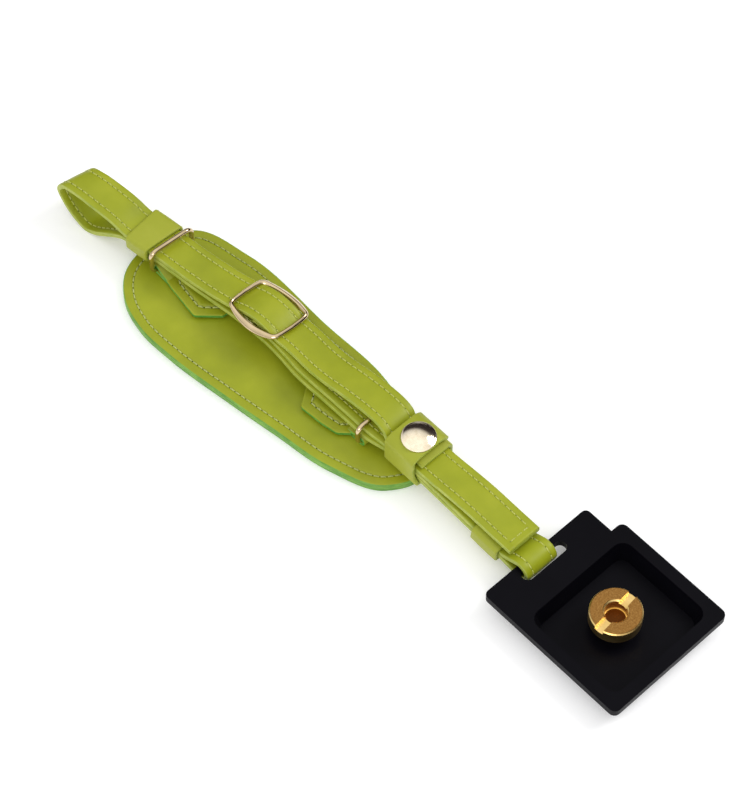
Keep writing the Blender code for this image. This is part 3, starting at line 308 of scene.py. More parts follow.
LEATHER = leather("lime_leather_finish", (0.257, 0.292, 0.0040), (0.294, 0.330, 0.0058),
                  (0.338, 0.368, 0.011))
KEEPER_FINISH = leather("keeper_leather_finish", (0.288, 0.320, 0.013), (0.322, 0.353, 0.021),
                        (0.355, 0.382, 0.032), 0.5)
STRAP_EDGE = painted_edge("strap_edge_finish", (0.270, 0.340, 0.024), (0.420, 0.465, 0.080))
PAD_EDGE = painted_edge("pad_edge_finish", (0.085, 0.255, 0.020), (0.190, 0.400, 0.050))
TAB_EDGE = painted_edge("tab_edge_finish", (0.060, 0.270, 0.025), (0.170, 0.450, 0.070))
LINING = leather("pad_lining_finish", (0.150, 0.190, 0.030), (0.180, 0.220, 0.035),
                 (0.200, 0.240, 0.045), 0.6)
THREAD = thread("thread_finish", (0.360, 0.400, 0.035), (0.540, 0.560, 0.130))
PALE_THREAD = thread("pale_thread_finish", (0.340, 0.390, 0.080), (0.480, 0.520, 0.170))
# Dark colour of the pad and tab needle holes: painted shade.
PAINTED_HOLE_SHADE = moulded("needle_hole_painted_shade", (0.028, 0.045, 0.003), (0.050, 0.075, 0.005), 0.9, 900.0,
               0.2)
# Darker leather colour for the strap's needle holes: painted shade, lighter than on the pad.
PAINTED_STRAP_HOLE_SHADE = moulded("strap_hole_painted_shade", (0.105, 0.135, 0.004), (0.140, 0.175, 0.006), 0.8,
                    900.0, 0.2)
CHAMPAGNE = metal("champagne_finish", (0.70, 0.55, 0.34), (0.58, 0.45, 0.27), 0.06, 0.13)
CAP_METAL = metal("cap_finish", (0.97, 0.86, 0.66), (0.90, 0.77, 0.56), 0.10, 0.18, 700.0, 0.08)
BRASS = turned_brass()
STEEL = metal("dark_washer_finish", (0.10, 0.10, 0.10), (0.06, 0.06, 0.06), 0.35, 0.5)
PLASTIC = moulded("satin_black_finish", (0.0020, 0.0018, 0.0032), (0.0030, 0.0028, 0.0046), 0.36,
                  2200.0, 0.2)
Finish(PLASTIC).show({"Specular IOR Level": 0.06})
# Lighter, glossier grey for the plate's bevel faces: painted highlight along its edges.
PLASTIC_EDGE_HIGHLIGHT = moulded("black_edge_painted_highlight", (0.040, 0.040, 0.043), (0.085, 0.085, 0.090), 0.24,
                       2200.0, 0.1)
RUBBER = moulded("rubber_finish", (0.012, 0.012, 0.012), (0.02, 0.02, 0.02), 0.8, 1500.0, 0.5)


# Shapes

def strap_line(x):
    """The strap's middle line in plan: straight, a soft bend, then straight again."""
    bent = BEND_START_X - x
    if bent <= 0:
        return STRAP_Y
    if bent < BEND_LENGTH:
        return STRAP_Y - BEND_SLOPE * bent ** 2 / (2 * BEND_LENGTH)
    return STRAP_Y - BEND_SLOPE * (bent - BEND_LENGTH / 2)


def strap_slope(x):
    return BEND_SLOPE * min(max(BEND_START_X - x, 0.0), BEND_LENGTH) / BEND_LENGTH


def across_at(x):
    """The strap's sideways direction, which turns back a little along the finger loop."""
    share = min(max((LOOP_TURN_X - x) / (LOOP_TURN_X - LOOP_NOSE_X), 0.0), 1.0)
    turn = LOOP_TURN * share * share * (3 - 2 * share)
    return Vector((turn - strap_slope(x), 1.0, 0.0)).normalized()


def on_strap(x, z, sideways=0.0):
    """A place at or beside the strap's middle line, in metres in the shared frame."""
    return (Vector((x, strap_line(x), z)) + across_at(x) * sideways + SHIFT) * MM


def smooth_path(points, steps=8):
    """A smooth curve through the points. Its steps count x and z only, all values are carried."""
    lengths = [math.dist(a[:2], b[:2]) for a, b in zip(points, points[1:])]
    rates = [
        [(b - a) / length for a, b in zip(start, end)]
        for start, end, length in zip(points, points[1:], lengths)
    ]
    slopes = [rates[0]]
    for index in range(1, len(points) - 1):
        before, after = lengths[index - 1], lengths[index]
        slopes.append([
            (a * after + b * before) / (before + after)
            for a, b in zip(rates[index - 1], rates[index])
        ])
    slopes.append(rates[-1])
    path = []
    for index, length in enumerate(lengths):
        for step in range(steps):
            t = step / steps
            path.append(tuple(
                a * (2 * t ** 3 - 3 * t ** 2 + 1) + b * (3 * t ** 2 - 2 * t ** 3)
                + length * (leave * (t ** 3 - 2 * t ** 2 + t) + arrive * (t ** 3 - t ** 2))
                for a, b, leave, arrive in zip(
                    points[index], points[index + 1], slopes[index], slopes[index + 1])
            ))
    path.append(tuple(points[-1]))
    return path


def arc(x, z, radius, start, end, steps):
    return [
        (x + radius * math.cos(math.radians(start + (end - start) * step / steps)),
         z + radius * math.sin(math.radians(start + (end - start) * step / steps)))
        for step in range(steps + 1)
    ]


def run_height(x):
    return RETURN_KEEPER_Z + RUN_SLOPE * (x - LOWER_KEEPER_X)


def filled(station):
    """A station with no sideways shift and full thickness, unless it says otherwise."""
    return (*station, *(0.0, 1.0)[len(station) - 2:])


def strap_stations():
    """x, z, sideways shift and share of full thickness, from the sewn end to the free end."""
    share = FOLD_THICKNESS / STRAP_THICKNESS
    out = LOWER_RING_SHIFT / 2 - GAP
    back = LOWER_RING_SHIFT - 0.3
    bar = SLIDER_X
    top = SLIDER_BAR_Z + FOLD_RADIUS
    low = SLIDER_BAR_Z - FOLD_RADIUS
    run_end = LOWER_KEEPER_X + LOWER_KEEPER_LENGTH / 2
    ring_low = RETURN_RING_Z + UPPER_RISE
    ring_high = SECOND_RING_Z + UPPER_RISE
    outward = [
        (bar + 2.5, low, SLIDER_SHIFT, share),
        (bar + 6.0, OUTWARD_SLIDER_Z - 0.1, SLIDER_SHIFT * 0.8, 0.85),
        (bar + 10.0, OUTWARD_SLIDER_Z), (bar + 19.0, OUTWARD_SLIDER_Z, out),
        (LOWER_RING_X - 15.0, SECOND_RING_Z - 0.2, out),
        (LOWER_RING_X - 4.0, SECOND_RING_Z, out),
        (LOWER_RING_X + 2.0, SECOND_RING_Z, out),
        (BAND_X - 6.0, OUTWARD_BAND_Z), (BAND_X - 4.5, OUTWARD_BAND_Z),
        (RUN_START_X - 1.5, OUTWARD_BAND_Z), (RUN_START_X, OUTWARD_BAND_Z),
        (RUN_START_X + 3.0, run_height(RUN_START_X + 3.0) + LAYER),
        (LOWER_KEEPER_X, RETURN_KEEPER_Z + LAYER),
        (run_end - 0.8, run_height(run_end - 0.8) + LAYER),
        (run_end + 0.4, run_height(run_end + 0.4) + LAYER),
        (EAR_BAR_X - 5.3, EAR_BAR_Z + TURN_RADIUS * 0.24),
    ]
    turn = arc(EAR_BAR_X, EAR_BAR_Z, TURN_RADIUS, 120, -120, 24)
    returning = [
        (EAR_BAR_X - 5.3, EAR_BAR_Z - TURN_RADIUS * 0.69),
        (run_end + 0.4, run_height(run_end + 0.4)),
        (run_end - 0.8, run_height(run_end - 0.8)),
        (LOWER_KEEPER_X, RETURN_KEEPER_Z),
        (RUN_START_X + 3.0, run_height(RUN_START_X + 3.0)),
        (RUN_START_X, RETURN_BAND_Z), (RUN_START_X - 1.5, RETURN_BAND_Z),
        (BAND_X - 4.5, RETURN_BAND_Z), (BAND_X - 6.0, RETURN_BAND_Z),
        (LOWER_RING_X + 2.0, RETURN_RING_Z, back),
        (LOWER_RING_X - 4.0, RETURN_RING_Z, back),
        (LOWER_RING_X - 15.0, RETURN_RING_Z - 0.2, back),
        (bar + 19.0, RETURN_SLIDER_Z, back), (bar + 8.0, RETURN_SLIDER_Z, back * 0.3),
        (bar - 8.0, RETURN_SLIDER_Z, 0.2),
        (UPPER_RING_X + 12.0, RETURN_RING_Z + 0.2),
        (UPPER_RING_X, ring_low), (UPPER_KEEPER_X, ring_low),
        (UPPER_KEEPER_X - 4.5, ring_low), (UPPER_KEEPER_X - 5.6, ring_low - 0.04),
        (UPPER_KEEPER_X - 7.3, ring_low - 0.3), (UPPER_KEEPER_X - 10.2, ring_low - 1.6, -0.2),
        (LOOP_LOW_X + 5.6, HALF + 4.1, -0.5), (LOOP_LOW_X + 1.2, HALF + 1.0, -0.8),
        (LOOP_LOW_X - 1.6, HALF, -0.9), (LOOP_LOW_X - 5.6, HALF + 1.5, -0.7),
        (LOOP_NOSE_X + 1.6, LOOP_NOSE_Z - 3.6, -0.2), (LOOP_NOSE_X, LOOP_NOSE_Z),
        (LOOP_NOSE_X + 1.9, LOOP_NOSE_Z + 2.9),
        (LOOP_NOSE_X + 6.5, LOOP_TOP_Z), (LOOP_LOW_X + 1.0, LOOP_TOP_Z - 0.3),
        (UPPER_KEEPER_X - 10.8, ring_high + 1.7), (UPPER_KEEPER_X - 7.3, ring_high + 0.45),
        (UPPER_KEEPER_X - 5.6, ring_high + 0.05), (UPPER_KEEPER_X - 4.5, ring_high),
        (UPPER_KEEPER_X, ring_high), (UPPER_RING_X, ring_high),
        (UPPER_RING_X + 12.0, SECOND_RING_Z + 0.6),
        (bar - SLIDER_REACH - 3.0, UNDER_BAR_Z - 0.5, SLIDER_SHIFT * 0.7),
        (bar - SLIDER_REACH + 0.4, UNDER_BAR_Z, SLIDER_SHIFT),
        (bar - 4.4, HUMP_Z - 0.7, SLIDER_SHIFT), (bar, HUMP_Z, SLIDER_SHIFT),
        (bar + 4.4, HUMP_Z - 0.7, SLIDER_SHIFT),
        (bar + SLIDER_REACH - 0.4, UNDER_BAR_Z, SLIDER_SHIFT),
        (bar + SLIDER_REACH + 3.0, UNDER_BAR_Z + 0.1, SLIDER_SHIFT),
        (LOWER_RING_X - 22.0, UNDER_BAR_Z + 0.8),
        (LOWER_RING_X - 8.0, OVER_RING_Z - 0.2, 0.8),
        (LOWER_RING_X - 1.5, OVER_RING_Z + 0.1, 1.1),
        (LOWER_RING_X + 2.2, OVER_RING_Z + 0.1, 1.1), (BAND_X - 9.4, TAIL_BAND_Z + 2.2, 0.9),
        (BAND_X - 7.8, TAIL_BAND_Z + 0.8, 0.5), (BAND_X - 6.4, TAIL_BAND_Z + 0.05, 0.15),
        (BAND_X - 5.0, TAIL_BAND_Z), (BAND_X + 7.0, TAIL_BAND_Z),
        (LOWER_KEEPER_X - 9.0, TAIL_KEEPER_Z + 0.75, 0.5),
        (LOWER_KEEPER_X + 2.0, TAIL_KEEPER_Z + 0.4, 0.5),
        (TAIL_END_X, TAIL_KEEPER_Z + 0.5, 0.4),
    ]
    stations = [(bar + 5.2, top - 1.4, SLIDER_SHIFT, share),
                (bar + 2.6, top - 0.45, SLIDER_SHIFT, share)]
    fold = arc(bar, SLIDER_BAR_Z, FOLD_RADIUS, 90, 270, 16)
    stations += [(x, z, SLIDER_SHIFT, share) for x, z in fold]
    stations += smooth_path([filled(station) for station in outward])
    stations += [filled(station) for station in turn]
    stations += smooth_path([filled(station) for station in returning])
    return stations


def row_at(place, places, table):
    """The row of a table at a place between its rows."""
    return np.array([np.interp(place, places, column) for column in table.T])


def lengths_along(points):
    """Length of a path up to each of its points."""
    return np.concatenate(([0.0], np.cumsum(np.linalg.norm(np.diff(points, axis=0), axis=1))))


def resample(points, step):
    """The same path in steps of nearly equal length, every value carried along."""
    clean = [points[0]]
    for point in points[1:]:
        if math.dist(point[:2], clean[-1][:2]) > 1e-3:
            clean.append(point)
    table = np.array(clean)
    places = lengths_along(table[:, :2])
    count = max(2, int(round(places[-1] / step)) + 1)
    wanted = np.linspace(0.0, places[-1], count)
    return row_at(wanted, places, table).T, wanted


class Ribbon:
    """A band of leather that follows the strap's line, with its local directions."""

    def __init__(self, stations, step=0.75):
        rows, self.places = resample(stations, step)
        self.length = self.places[-1]
        self.share = rows[:, 3]
        self.sides = np.array([across_at(x) for x in rows[:, 0]])
        self.middles = np.array([(x, strap_line(x), z) for x, z in rows[:, :2]])
        self.middles += self.sides * rows[:, 2:3]
        ahead = np.gradient(self.middles, axis=0)
        ahead /= np.linalg.norm(ahead, axis=1)[:, None]
        self.outward = np.cross(ahead, self.sides)

    def at(self, place, sideways=0.0, out=0.0):
        """A point at a length along the ribbon, sideways and out from its middle."""
        middle, side, outward = (
            Vector(row_at(place, self.places, table))
            for table in (self.middles, self.sides, self.outward)
        )
        return middle + side.normalized() * sideways + outward.normalized() * out


def strap_section(half_width, half_height):
    """Outline of the strap's cross-section: two plies with a line between them at each edge."""
    row = half_width - STITCH_INSET
    side = [
        (half_width - 0.55, half_height, 0), (half_width - 0.2, half_height - 0.09, 1),
        (half_width - 0.02, half_height - 0.34, 1), (half_width, half_height * 0.45, 1),
        (half_width - 0.05, 0.14, 1), (half_width - 0.17, 0.0, 1), (half_width - 0.05, -0.14, 1),
        (half_width, -half_height * 0.45, 1), (half_width - 0.02, 0.34 - half_height, 1),
        (half_width - 0.2, 0.09 - half_height, 0), (half_width - 0.55, -half_height, 0),
    ]
    face = [
        (half_width - 1.3, -half_height - 0.03, 0), (row + 0.45, -half_height, 0),
        (row + 0.2, 0.09 - half_height, 0), (row - 0.2, 0.09 - half_height, 0),
        (row - 0.45, -half_height, 0), (row - 1.1, -half_height - 0.04, 0),
        (1.0, -half_height - 0.06, 0),
    ]
    half = side + face + [(-u, v, 0) for u, v, _ in reversed(face)]
    return half + [(-u, -v, slot) for u, v, slot in half]


def join_rows(bm, rows, slot=None):
    """Faces between rows of vertices, each row closed on itself. A slot goes by row and column."""
    for level, (before, after) in enumerate(zip(rows, rows[1:])):
        count = len(before)
        for index in range(count):
            following = (index + 1) % count
            face = bm.faces.new((before[index], before[following], after[following], after[index]))
            face.smooth = True
            if slot is not None:
                face.material_index = slot(level, index)


def close_ends(bm, rows, slot):
    for row in (rows[0][::-1], rows[-1]):
        bm.faces.new(row).material_index = slot


def ribbon_piece(name, ribbon, section, materials):
    """Sweeps a cross-section along a ribbon. The section's heights thin with the ribbon."""
    bm = bmesh.new()
    rows = []
    for index in range(len(ribbon.middles)):
        middle = Vector(ribbon.middles[index]) + SHIFT
        side = Vector(ribbon.sides[index])
        outward = Vector(ribbon.outward[index])
        share = ribbon.share[index]
        rows.append([
            bm.verts.new((middle + side * u + outward * v * share) * MM) for u, v, _ in section
        ])
    join_rows(bm, rows, lambda level, index: section[index][2])
    close_ends(bm, rows, 1)
    return finish_piece(name, bm, materials)


def new_object(name, data):
    made = bpy.data.objects.new(name, data)
    bpy.context.scene.collection.objects.link(made)
    return made


def finish_piece(name, bm, materials):
    bmesh.ops.recalc_face_normals(bm, faces=bm.faces[:])
    mesh = bpy.data.meshes.new(name)
    bm.to_mesh(mesh)
    bm.free()
    for material in materials:
        mesh.materials.append(material)
    return new_object(name, mesh)


def run_at(points, index):
    """Direction of an open path at one of its points, from the points beside it."""
    after = Vector(points[min(index + 1, len(points) - 1)])
    return (after - Vector(points[max(index - 1, 0)])).normalized()


def add_tube(bm, points, radius):
    """A short round thread through the points, thinner and closed at both ends."""
    sides = 6
    end_share = 0.72
    rows = []
    last = len(points) - 1
    for index, point in enumerate(points):
        ahead = run_at(points, index)
        helper = Vector((0.0, 0.0, 1.0)) if abs(ahead.z) < 0.9 else Vector((1.0, 0.0, 0.0))
        first = ahead.cross(helper).normalized()
        second = ahead.cross(first)
        size = radius * (end_share if index in (0, last) else 1.0)
        rows.append([
            bm.verts.new((point + SHIFT + first * size * math.cos(2 * math.pi * k / sides)
                          + second * size * math.sin(2 * math.pi * k / sides)) * MM)
            for k in range(sides)
        ])
    join_rows(bm, rows)
    close_ends(bm, rows, 0)


def add_hole(bm, point, normal, ahead, length, width):
    """A needle hole: a small oval dished into the leather, coloured dark as painted shade for the
    hole's depth.
    """
    side = normal.cross(ahead).normalized()
    rim = [
        bm.verts.new((point + SHIFT + ahead * length / 2 * math.cos(math.pi * k / 4)
                      + side * width / 2 * math.sin(math.pi * k / 4) + normal * 0.02) * MM)
        for k in range(8)
    ]
    middle = bm.verts.new((point + SHIFT + normal * 0.035) * MM)
    for k in range(8):
        face = bm.faces.new((rim[k], rim[(k + 1) % 8], middle))
        face.material_index = 1
        face.smooth = True


def add_stitch(bm, start, end, normal, radius, rise, hole):
    """One stitch lying on the leather from hole to hole."""
    ahead = (end - start).normalized()
    points = []
    for t, lift in ((0.04, -0.12), (0.16, rise * 0.6), (0.5, rise), (0.84, rise * 0.6),
                    (0.96, -0.12)):
        points.append(start.lerp(end, t) + normal * lift)
    add_tube(bm, points, radius)
    add_hole(bm, start, normal, ahead, hole, radius * 2.3)


def even_stitches(path, pitch, gap):
    """Start and end of each stitch along a path of points."""
    table = np.array(path)
    places = lengths_along(table)
    count = max(1, int(round(places[-1] / pitch)))
    real = places[-1] / count
    for index in range(count):
        start = index * real + gap / 2
        end = (index + 1) * real - gap / 2
        yield Vector(row_at(start, places, table)), Vector(row_at(end, places, table))


def sew(name, line, pitch, gap, radius, rise, hole):
    """A closed seam along a level line of points, as its own piece."""
    bm = bmesh.new()
    for start, end in even_stitches([*line, line[0]], pitch, gap):
        add_stitch(bm, start, end, Vector((0.0, 0.0, 1.0)), radius, rise, hole)
    # Slot 1 holds the needle holes' painted shade.
    return finish_piece(name, bm, [PALE_THREAD, PAINTED_HOLE_SHADE])


def rounded_corners(corners, radii, closed=True, steps=6):
    count = len(corners)
    rounded = []
    for index, corner in enumerate(corners):
        here = Vector(corner)
        radius = radii if isinstance(radii, (int, float)) else radii[index]
        if (not closed and index in (0, count - 1)) or radius == 0:
            rounded.append(tuple(here))
            continue
        arriving = (Vector(corners[index - 1]) - here).normalized()
        leaving = (Vector(corners[(index + 1) % count]) - here).normalized()
        half_angle = arriving.angle(leaving) / 2
        middle = here + (arriving + leaving).normalized() * (radius / math.sin(half_angle))
        start = (here + arriving * (radius / math.tan(half_angle)) - middle).normalized()
        end = (here + leaving * (radius / math.tan(half_angle)) - middle).normalized()
        for step in range(steps + 1):
            rounded.append(tuple(middle + radius * start.slerp(end, step / steps)))
    return rounded


def even_outline(outline, count):
    """A closed outline as evenly spaced points."""
    closed = np.array([*outline, outline[0]])
    places = lengths_along(closed)
    wanted = np.linspace(0.0, places[-1], count, endpoint=False)
    return row_at(wanted, places, closed).T


def edge_distance(points, outline):
    """Distance of each plan point from the outline."""
    starts = outline
    ends = np.roll(outline, -1, axis=0)
    spans = ends - starts
    offsets = points[:, None, :] - starts[None, :, :]
    shares = np.clip((offsets * spans).sum(2) / (spans ** 2).sum(1), 0.0, 1.0)
    nearest = starts[None] + shares[..., None] * spans[None]
    return np.sqrt(((points[:, None, :] - nearest) ** 2).sum(2)).min(1)


def inset_line(points, inset, centre):
    """The outline's points moved inwards, to the side on which the centre lies."""
    count = len(points)
    moved = []
    for index, point in enumerate(points):
        along = (points[(index + 1) % count] - points[index - 1]).normalized()
        inward = Vector((along.y, -along.x, 0.0))
        if (centre - point).dot(inward) < 0:
            inward = -inward
        moved.append(point + inward * inset)
    return moved


def domed_sheet(name, outline, count, spine, insets, fractions, top, side_profile, bottom,
                materials, painted=0.0):
    """A sheet with a worked top surface: rings run from the outline towards a spine.

    Edge paint reaches over the rim as far as the painted inset."""
    outline = even_outline(outline, count)
    start, end = np.array(spine[0]), np.array(spine[1])
    span = end - start
    share = np.clip(((outline - start) @ span) / (span @ span), 0.0, 1.0)
    heart = start + share[:, None] * span
    towards = heart - outline
    reach = np.linalg.norm(towards, axis=1)
    towards /= reach[:, None]
    rings = []
    for inset in insets:
        rings.append(outline + towards * np.minimum(inset, reach * 0.97)[:, None])
    last = rings[-1]
    for fraction in fractions:
        rings.append(last + (heart - last) * fraction)
    bm = bmesh.new()
    rows = []
    for inset_out, height, _ in side_profile:
        ring = outline + towards * inset_out
        rows.append([bm.verts.new((Vector((x, y, height)) + SHIFT) * MM) for x, y in ring])
    for ring in rings:
        distance = edge_distance(ring, outline)
        heights = top(ring, distance)
        rows.append([
            bm.verts.new((Vector((x, y, z)) + SHIFT) * MM) for (x, y), z in zip(ring, heights)
        ])
    slots = [slot for _, _, slot in side_profile]
    slots += [1 if inset < painted else 0 for inset in insets] + [0] * len(fractions)
    join_rows(bm, rows, lambda level, index: slots[level])
    bm.faces.new(rows[0][::-1]).material_index = bottom
    bmesh.ops.remove_doubles(bm, verts=rows[-1], dist=0.02 * MM)
    open_edges = [edge for edge in bm.edges if edge.is_boundary]
    if open_edges:
        bmesh.ops.holes_fill(bm, edges=open_edges, sides=0)
    bmesh.ops.triangulate(bm, faces=[face for face in bm.faces if len(face.verts) > 4])
    return finish_piece(name, bm, materials)


BODY = "strap_and_pad"


# Strap

strap = Ribbon(strap_stations())
strap_piece = ribbon_piece(
    "strap_leather", strap, strap_section(STRAP_WIDTH / 2, HALF), [LEATHER, STRAP_EDGE])
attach(strap_piece, BODY)
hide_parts("strap")

bm = bmesh.new()
inset = STRAP_WIDTH / 2 - STITCH_INSET
STITCH_PITCH = 2.1
STITCH_END_GAP = 0.2
FIRST_STITCH = 9.0
CHANNEL_DEPTH = 0.09
TAIL_STITCHES = 3
for face_side in (1.0, -1.0):
    for sideways in (inset, -inset):
        place = FIRST_STITCH
        while place + STITCH_PITCH < strap.length - STITCH_INSET:
            start = place + STITCH_END_GAP
            end = place + STITCH_PITCH - STITCH_END_GAP
            share = float(np.interp(start, strap.places, strap.share))
            level = (HALF - CHANNEL_DEPTH) * share
            middle = Vector(row_at((start + end) / 2, strap.places, strap.outward))
            first = strap.at(start, sideways, face_side * level)
            last = strap.at(end, sideways, face_side * level)
            add_stitch(bm, first, last, middle.normalized() * face_side, 0.2, 0.1, 0.55)
            place += STITCH_PITCH
    width = 2 * inset / TAIL_STITCHES
    place = strap.length - STITCH_INSET
    normal = Vector(strap.outward[-1]) * face_side
    for step in range(TAIL_STITCHES):
        start = -inset + step * width + STITCH_END_GAP
        end = -inset + (step + 1) * width - STITCH_END_GAP
        first = strap.at(place, start, face_side * HALF * 0.98)
        last = strap.at(place, end, face_side * HALF * 0.98)
        add_stitch(bm, first, last, normal, 0.19, 0.09, 0.4)
# Slot 1 holds the strap needle holes' painted shade.
strap_stitches = finish_piece("strap_stitches", bm, [THREAD, PAINTED_STRAP_HOLE_SHADE])
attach(strap_stitches, BODY)


# Hand pad

PAD_OUTLINE_SHARES = (
    (0.000, 0.560), (0.049, 0.873), (0.202, 1.000), (0.506, 1.000), (0.735, 0.988),
    (0.893, 0.854), (1.000, 0.586), (0.963, 0.382), (0.825, 0.207), (0.651, 0.131),
    (0.484, 0.066), (0.300, 0.010), (0.185, 0.012), (0.086, 0.098), (0.023, 0.260),
)
PAD_PAST_UPPER_RING = 10.2
PAD_PAST_LOWER_RING = 18.9
PAD_START_X = UPPER_RING_X - PAD_PAST_UPPER_RING
PAD_LENGTH = LOWER_RING_X + PAD_PAST_LOWER_RING - PAD_START_X
PAD_WIDTH = 41.1
PAD_FAR_Y = 9.8
PAD_NEAR_Y = PAD_FAR_Y - PAD_WIDTH
PAD_SPINE = ((-160.0, -10.8), (-92.0, -8.2))
PAD_MIDDLE = Vector((-130.0, -12.0, 0.0))
PAD_POINTS = 320
PAD_STEPS = 12
pad_points = [(PAD_START_X + along * PAD_LENGTH, PAD_NEAR_Y + across * PAD_WIDTH)
              for along, across in PAD_OUTLINE_SHARES]
wrapped = [pad_points[-1], *pad_points, pad_points[0], pad_points[1]]
pad_path = smooth_path(wrapped, PAD_STEPS)[PAD_STEPS:PAD_STEPS * (len(pad_points) + 1)]
pad_path = even_outline(np.array(pad_path), PAD_POINTS)
PAD_STITCH_INSET = 3.0
PAD_RIM = 0.55


def pad_top(points, distance):
    """Height of the pad's top: a rounded rim, a stitched channel and a low uneven crown."""
    edge = np.where(distance < PAD_RIM, -0.42 * (1 - distance / PAD_RIM) ** 2, 0.0)
    channel = -0.2 * np.exp(-((distance - PAD_STITCH_INSET) / 0.32) ** 2)
    crown = 0.16 * (1 - np.exp(-np.maximum(distance - PAD_STITCH_INSET, 0.0) / 3.0))
    between = 0.05 * np.exp(-((distance - 1.6) / 0.8) ** 2)
    slow = 0.05 * np.sin(points[:, 0] / 9.0 + 1.0) * np.sin(points[:, 1] / 7.0)
    settle = np.clip(distance / 8.0, 0.0, 1.0)
    return PAD_TOP - 0.1 + edge + channel + crown * 0.9 + between + slow * settle


pad_insets = [0.0, 0.12, 0.3, 0.55, 1.0, 1.6, 2.2, 2.5, 2.7, 2.85, 3.0, 3.15, 3.3, 3.5, 3.9, 4.6,
              5.6, 7.0]
pad_fractions = [0.15, 0.32, 0.5, 0.68, 0.82, 0.92]
pad = domed_sheet(
    "hand_pad", pad_path, PAD_POINTS, PAD_SPINE, pad_insets, pad_fractions, pad_top,
    [(0.5, 0.0, 1), (0.12, 0.12, 1), (0.0, 0.5, 1), (0.06, 0.72, 1), (0.16, 0.84, 1),
     (0.05, 0.96, 1), (-0.02, 1.4, 1), (0.02, 2.0, 1), (0.14, 2.16, 1), (0.03, 2.3, 1),
     (-0.01, 2.5, 1)],
    2, [LEATHER, PAD_EDGE, LINING], painted=0.2)
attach(pad, BODY)
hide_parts("pad_leather", "pad_foam", "pad_lining")

stitch_line = inset_line([Vector((x, y, PAD_TOP - 0.27)) for x, y in pad_path], PAD_STITCH_INSET,
                         PAD_MIDDLE)
pad_stitches = sew("pad_stitches", stitch_line, 2.05, 0.4, 0.23, 0.16, 0.75)
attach(pad_stitches, BODY)


# Tabs that hold the rings

TAB_STITCH_INSET = 2.8
TAB_NECK_HALF = 6.15
TAB_POINTS = 240
UPPER_TAB_SLOPE = -0.06
LOWER_TAB_SLOPE = -0.02
LOWER_TAB_SHIFT = 1.9


def tab_piece(name, node, ring_x, ring_y, direction, slope, half_outline, spine):
    """A stitched tab: a raised middle inside its stitches, and a neck folded round the ring."""
    turn = math.atan(slope)
    ahead = Vector((math.cos(turn) * direction, math.sin(turn) * direction, 0.0))
    side = Vector((-ahead.y, ahead.x, 0.0)) * direction
    origin = Vector((ring_x, ring_y, 0.0))

    def place(along, sideways, z=0.0):
        return origin + ahead * along + side * sideways + Vector((0.0, 0.0, z))

    corners = half_outline + [(a, -b) for a, b in reversed(half_outline)]
    radii = [0.6, 2.0, 3.0, 1.6, 0.8]
    rounded = rounded_corners(corners, radii + radii[::-1])
    flat = [tuple(place(a, b))[:2] for a, b in rounded]
    low = TAB_HIGH_Z - TAB_LEATHER / 2
    high = TAB_HIGH_Z + TAB_LEATHER / 2

    def top(points, distance):
        edge = np.where(distance < 0.3, -0.16 * (1 - distance / 0.3) ** 2, 0.0)
        channel = -0.16 * np.exp(-((distance - TAB_STITCH_INSET) / 0.32) ** 2)
        raised = 0.34 / (1 + np.exp(-(distance - 3.3) / 0.18))
        return high - 0.06 + edge + channel + raised

    ends = [tuple(place(a, 0.0))[:2] for a in spine]
    insets = [0.0, 0.08, 0.2, 0.4, 0.9, 1.6, 2.1, 2.4, 2.6, 2.75, 2.9, 3.1, 3.3, 3.5, 3.8, 4.3]
    sheet = domed_sheet(
        name, flat, TAB_POINTS, ends, insets, [0.3, 0.6, 0.85], top,
        [(0.12, low - 0.55, 1), (0.0, low - 0.4, 1), (0.0, low - 0.1, 1), (0.09, low, 1),
         (0.0, low + 0.12, 1), (-0.01, high - 0.3, 1)],
        1, [LEATHER, TAB_EDGE])
    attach(sheet, BODY)
    bm = bmesh.new()
    path = [(6.6, TAB_HIGH_Z - 0.14), (5.2, TAB_HIGH_Z - 0.04), (3.9, TAB_HIGH_Z + 0.13),
            (2.6, TAB_HIGH_Z + 0.60)]
    path += arc(0.0, RING_FOOT_Z, EYE, 62, 270, 20)
    path += [(5.0, TAB_LOW_Z)]
    rows = []
    half = TAB_NECK_HALF
    for index, (along, z) in enumerate(path):
        run = run_at(path, index)
        out = Vector((-run.y, run.x)) * TAB_LEATHER / 2
        ring = []
        for sideways, share in ((-half, 0.6), (-half + 0.15, 1.0), (half - 0.15, 1.0), (half, 0.6),
                                (half, -0.6), (half - 0.15, -1.0), (-half + 0.15, -1.0),
                                (-half, -0.6)):
            ring.append(bm.verts.new((place(
                along + out.x * share, sideways, z + out.y * share) + SHIFT) * MM))
        rows.append(ring)
    join_rows(bm, rows, lambda level, index: 0 if index in (1, 5) else 1)
    close_ends(bm, rows, 0)
    neck = finish_piece(name + "_neck", bm, [LEATHER, TAB_EDGE])
    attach(neck, BODY)
    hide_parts(node)
    outline = even_outline(np.array(flat), 200)
    centre = Vector((*np.array(ends).mean(0), 0.0))
    points = [Vector((x, y, 0.0)) for x, y in outline]
    inner = [
        Vector((moved.x, moved.y, high - 0.16))
        for moved in inset_line(points, TAB_STITCH_INSET, centre)
        if edge_distance(np.array([tuple(moved)[:2]]), outline)[0] > TAB_STITCH_INSET - 0.12
    ]
    stitches = sew(name + "_stitches", inner, 2.25, 0.5, 0.26, 0.24, 0.85)
    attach(stitches, BODY)


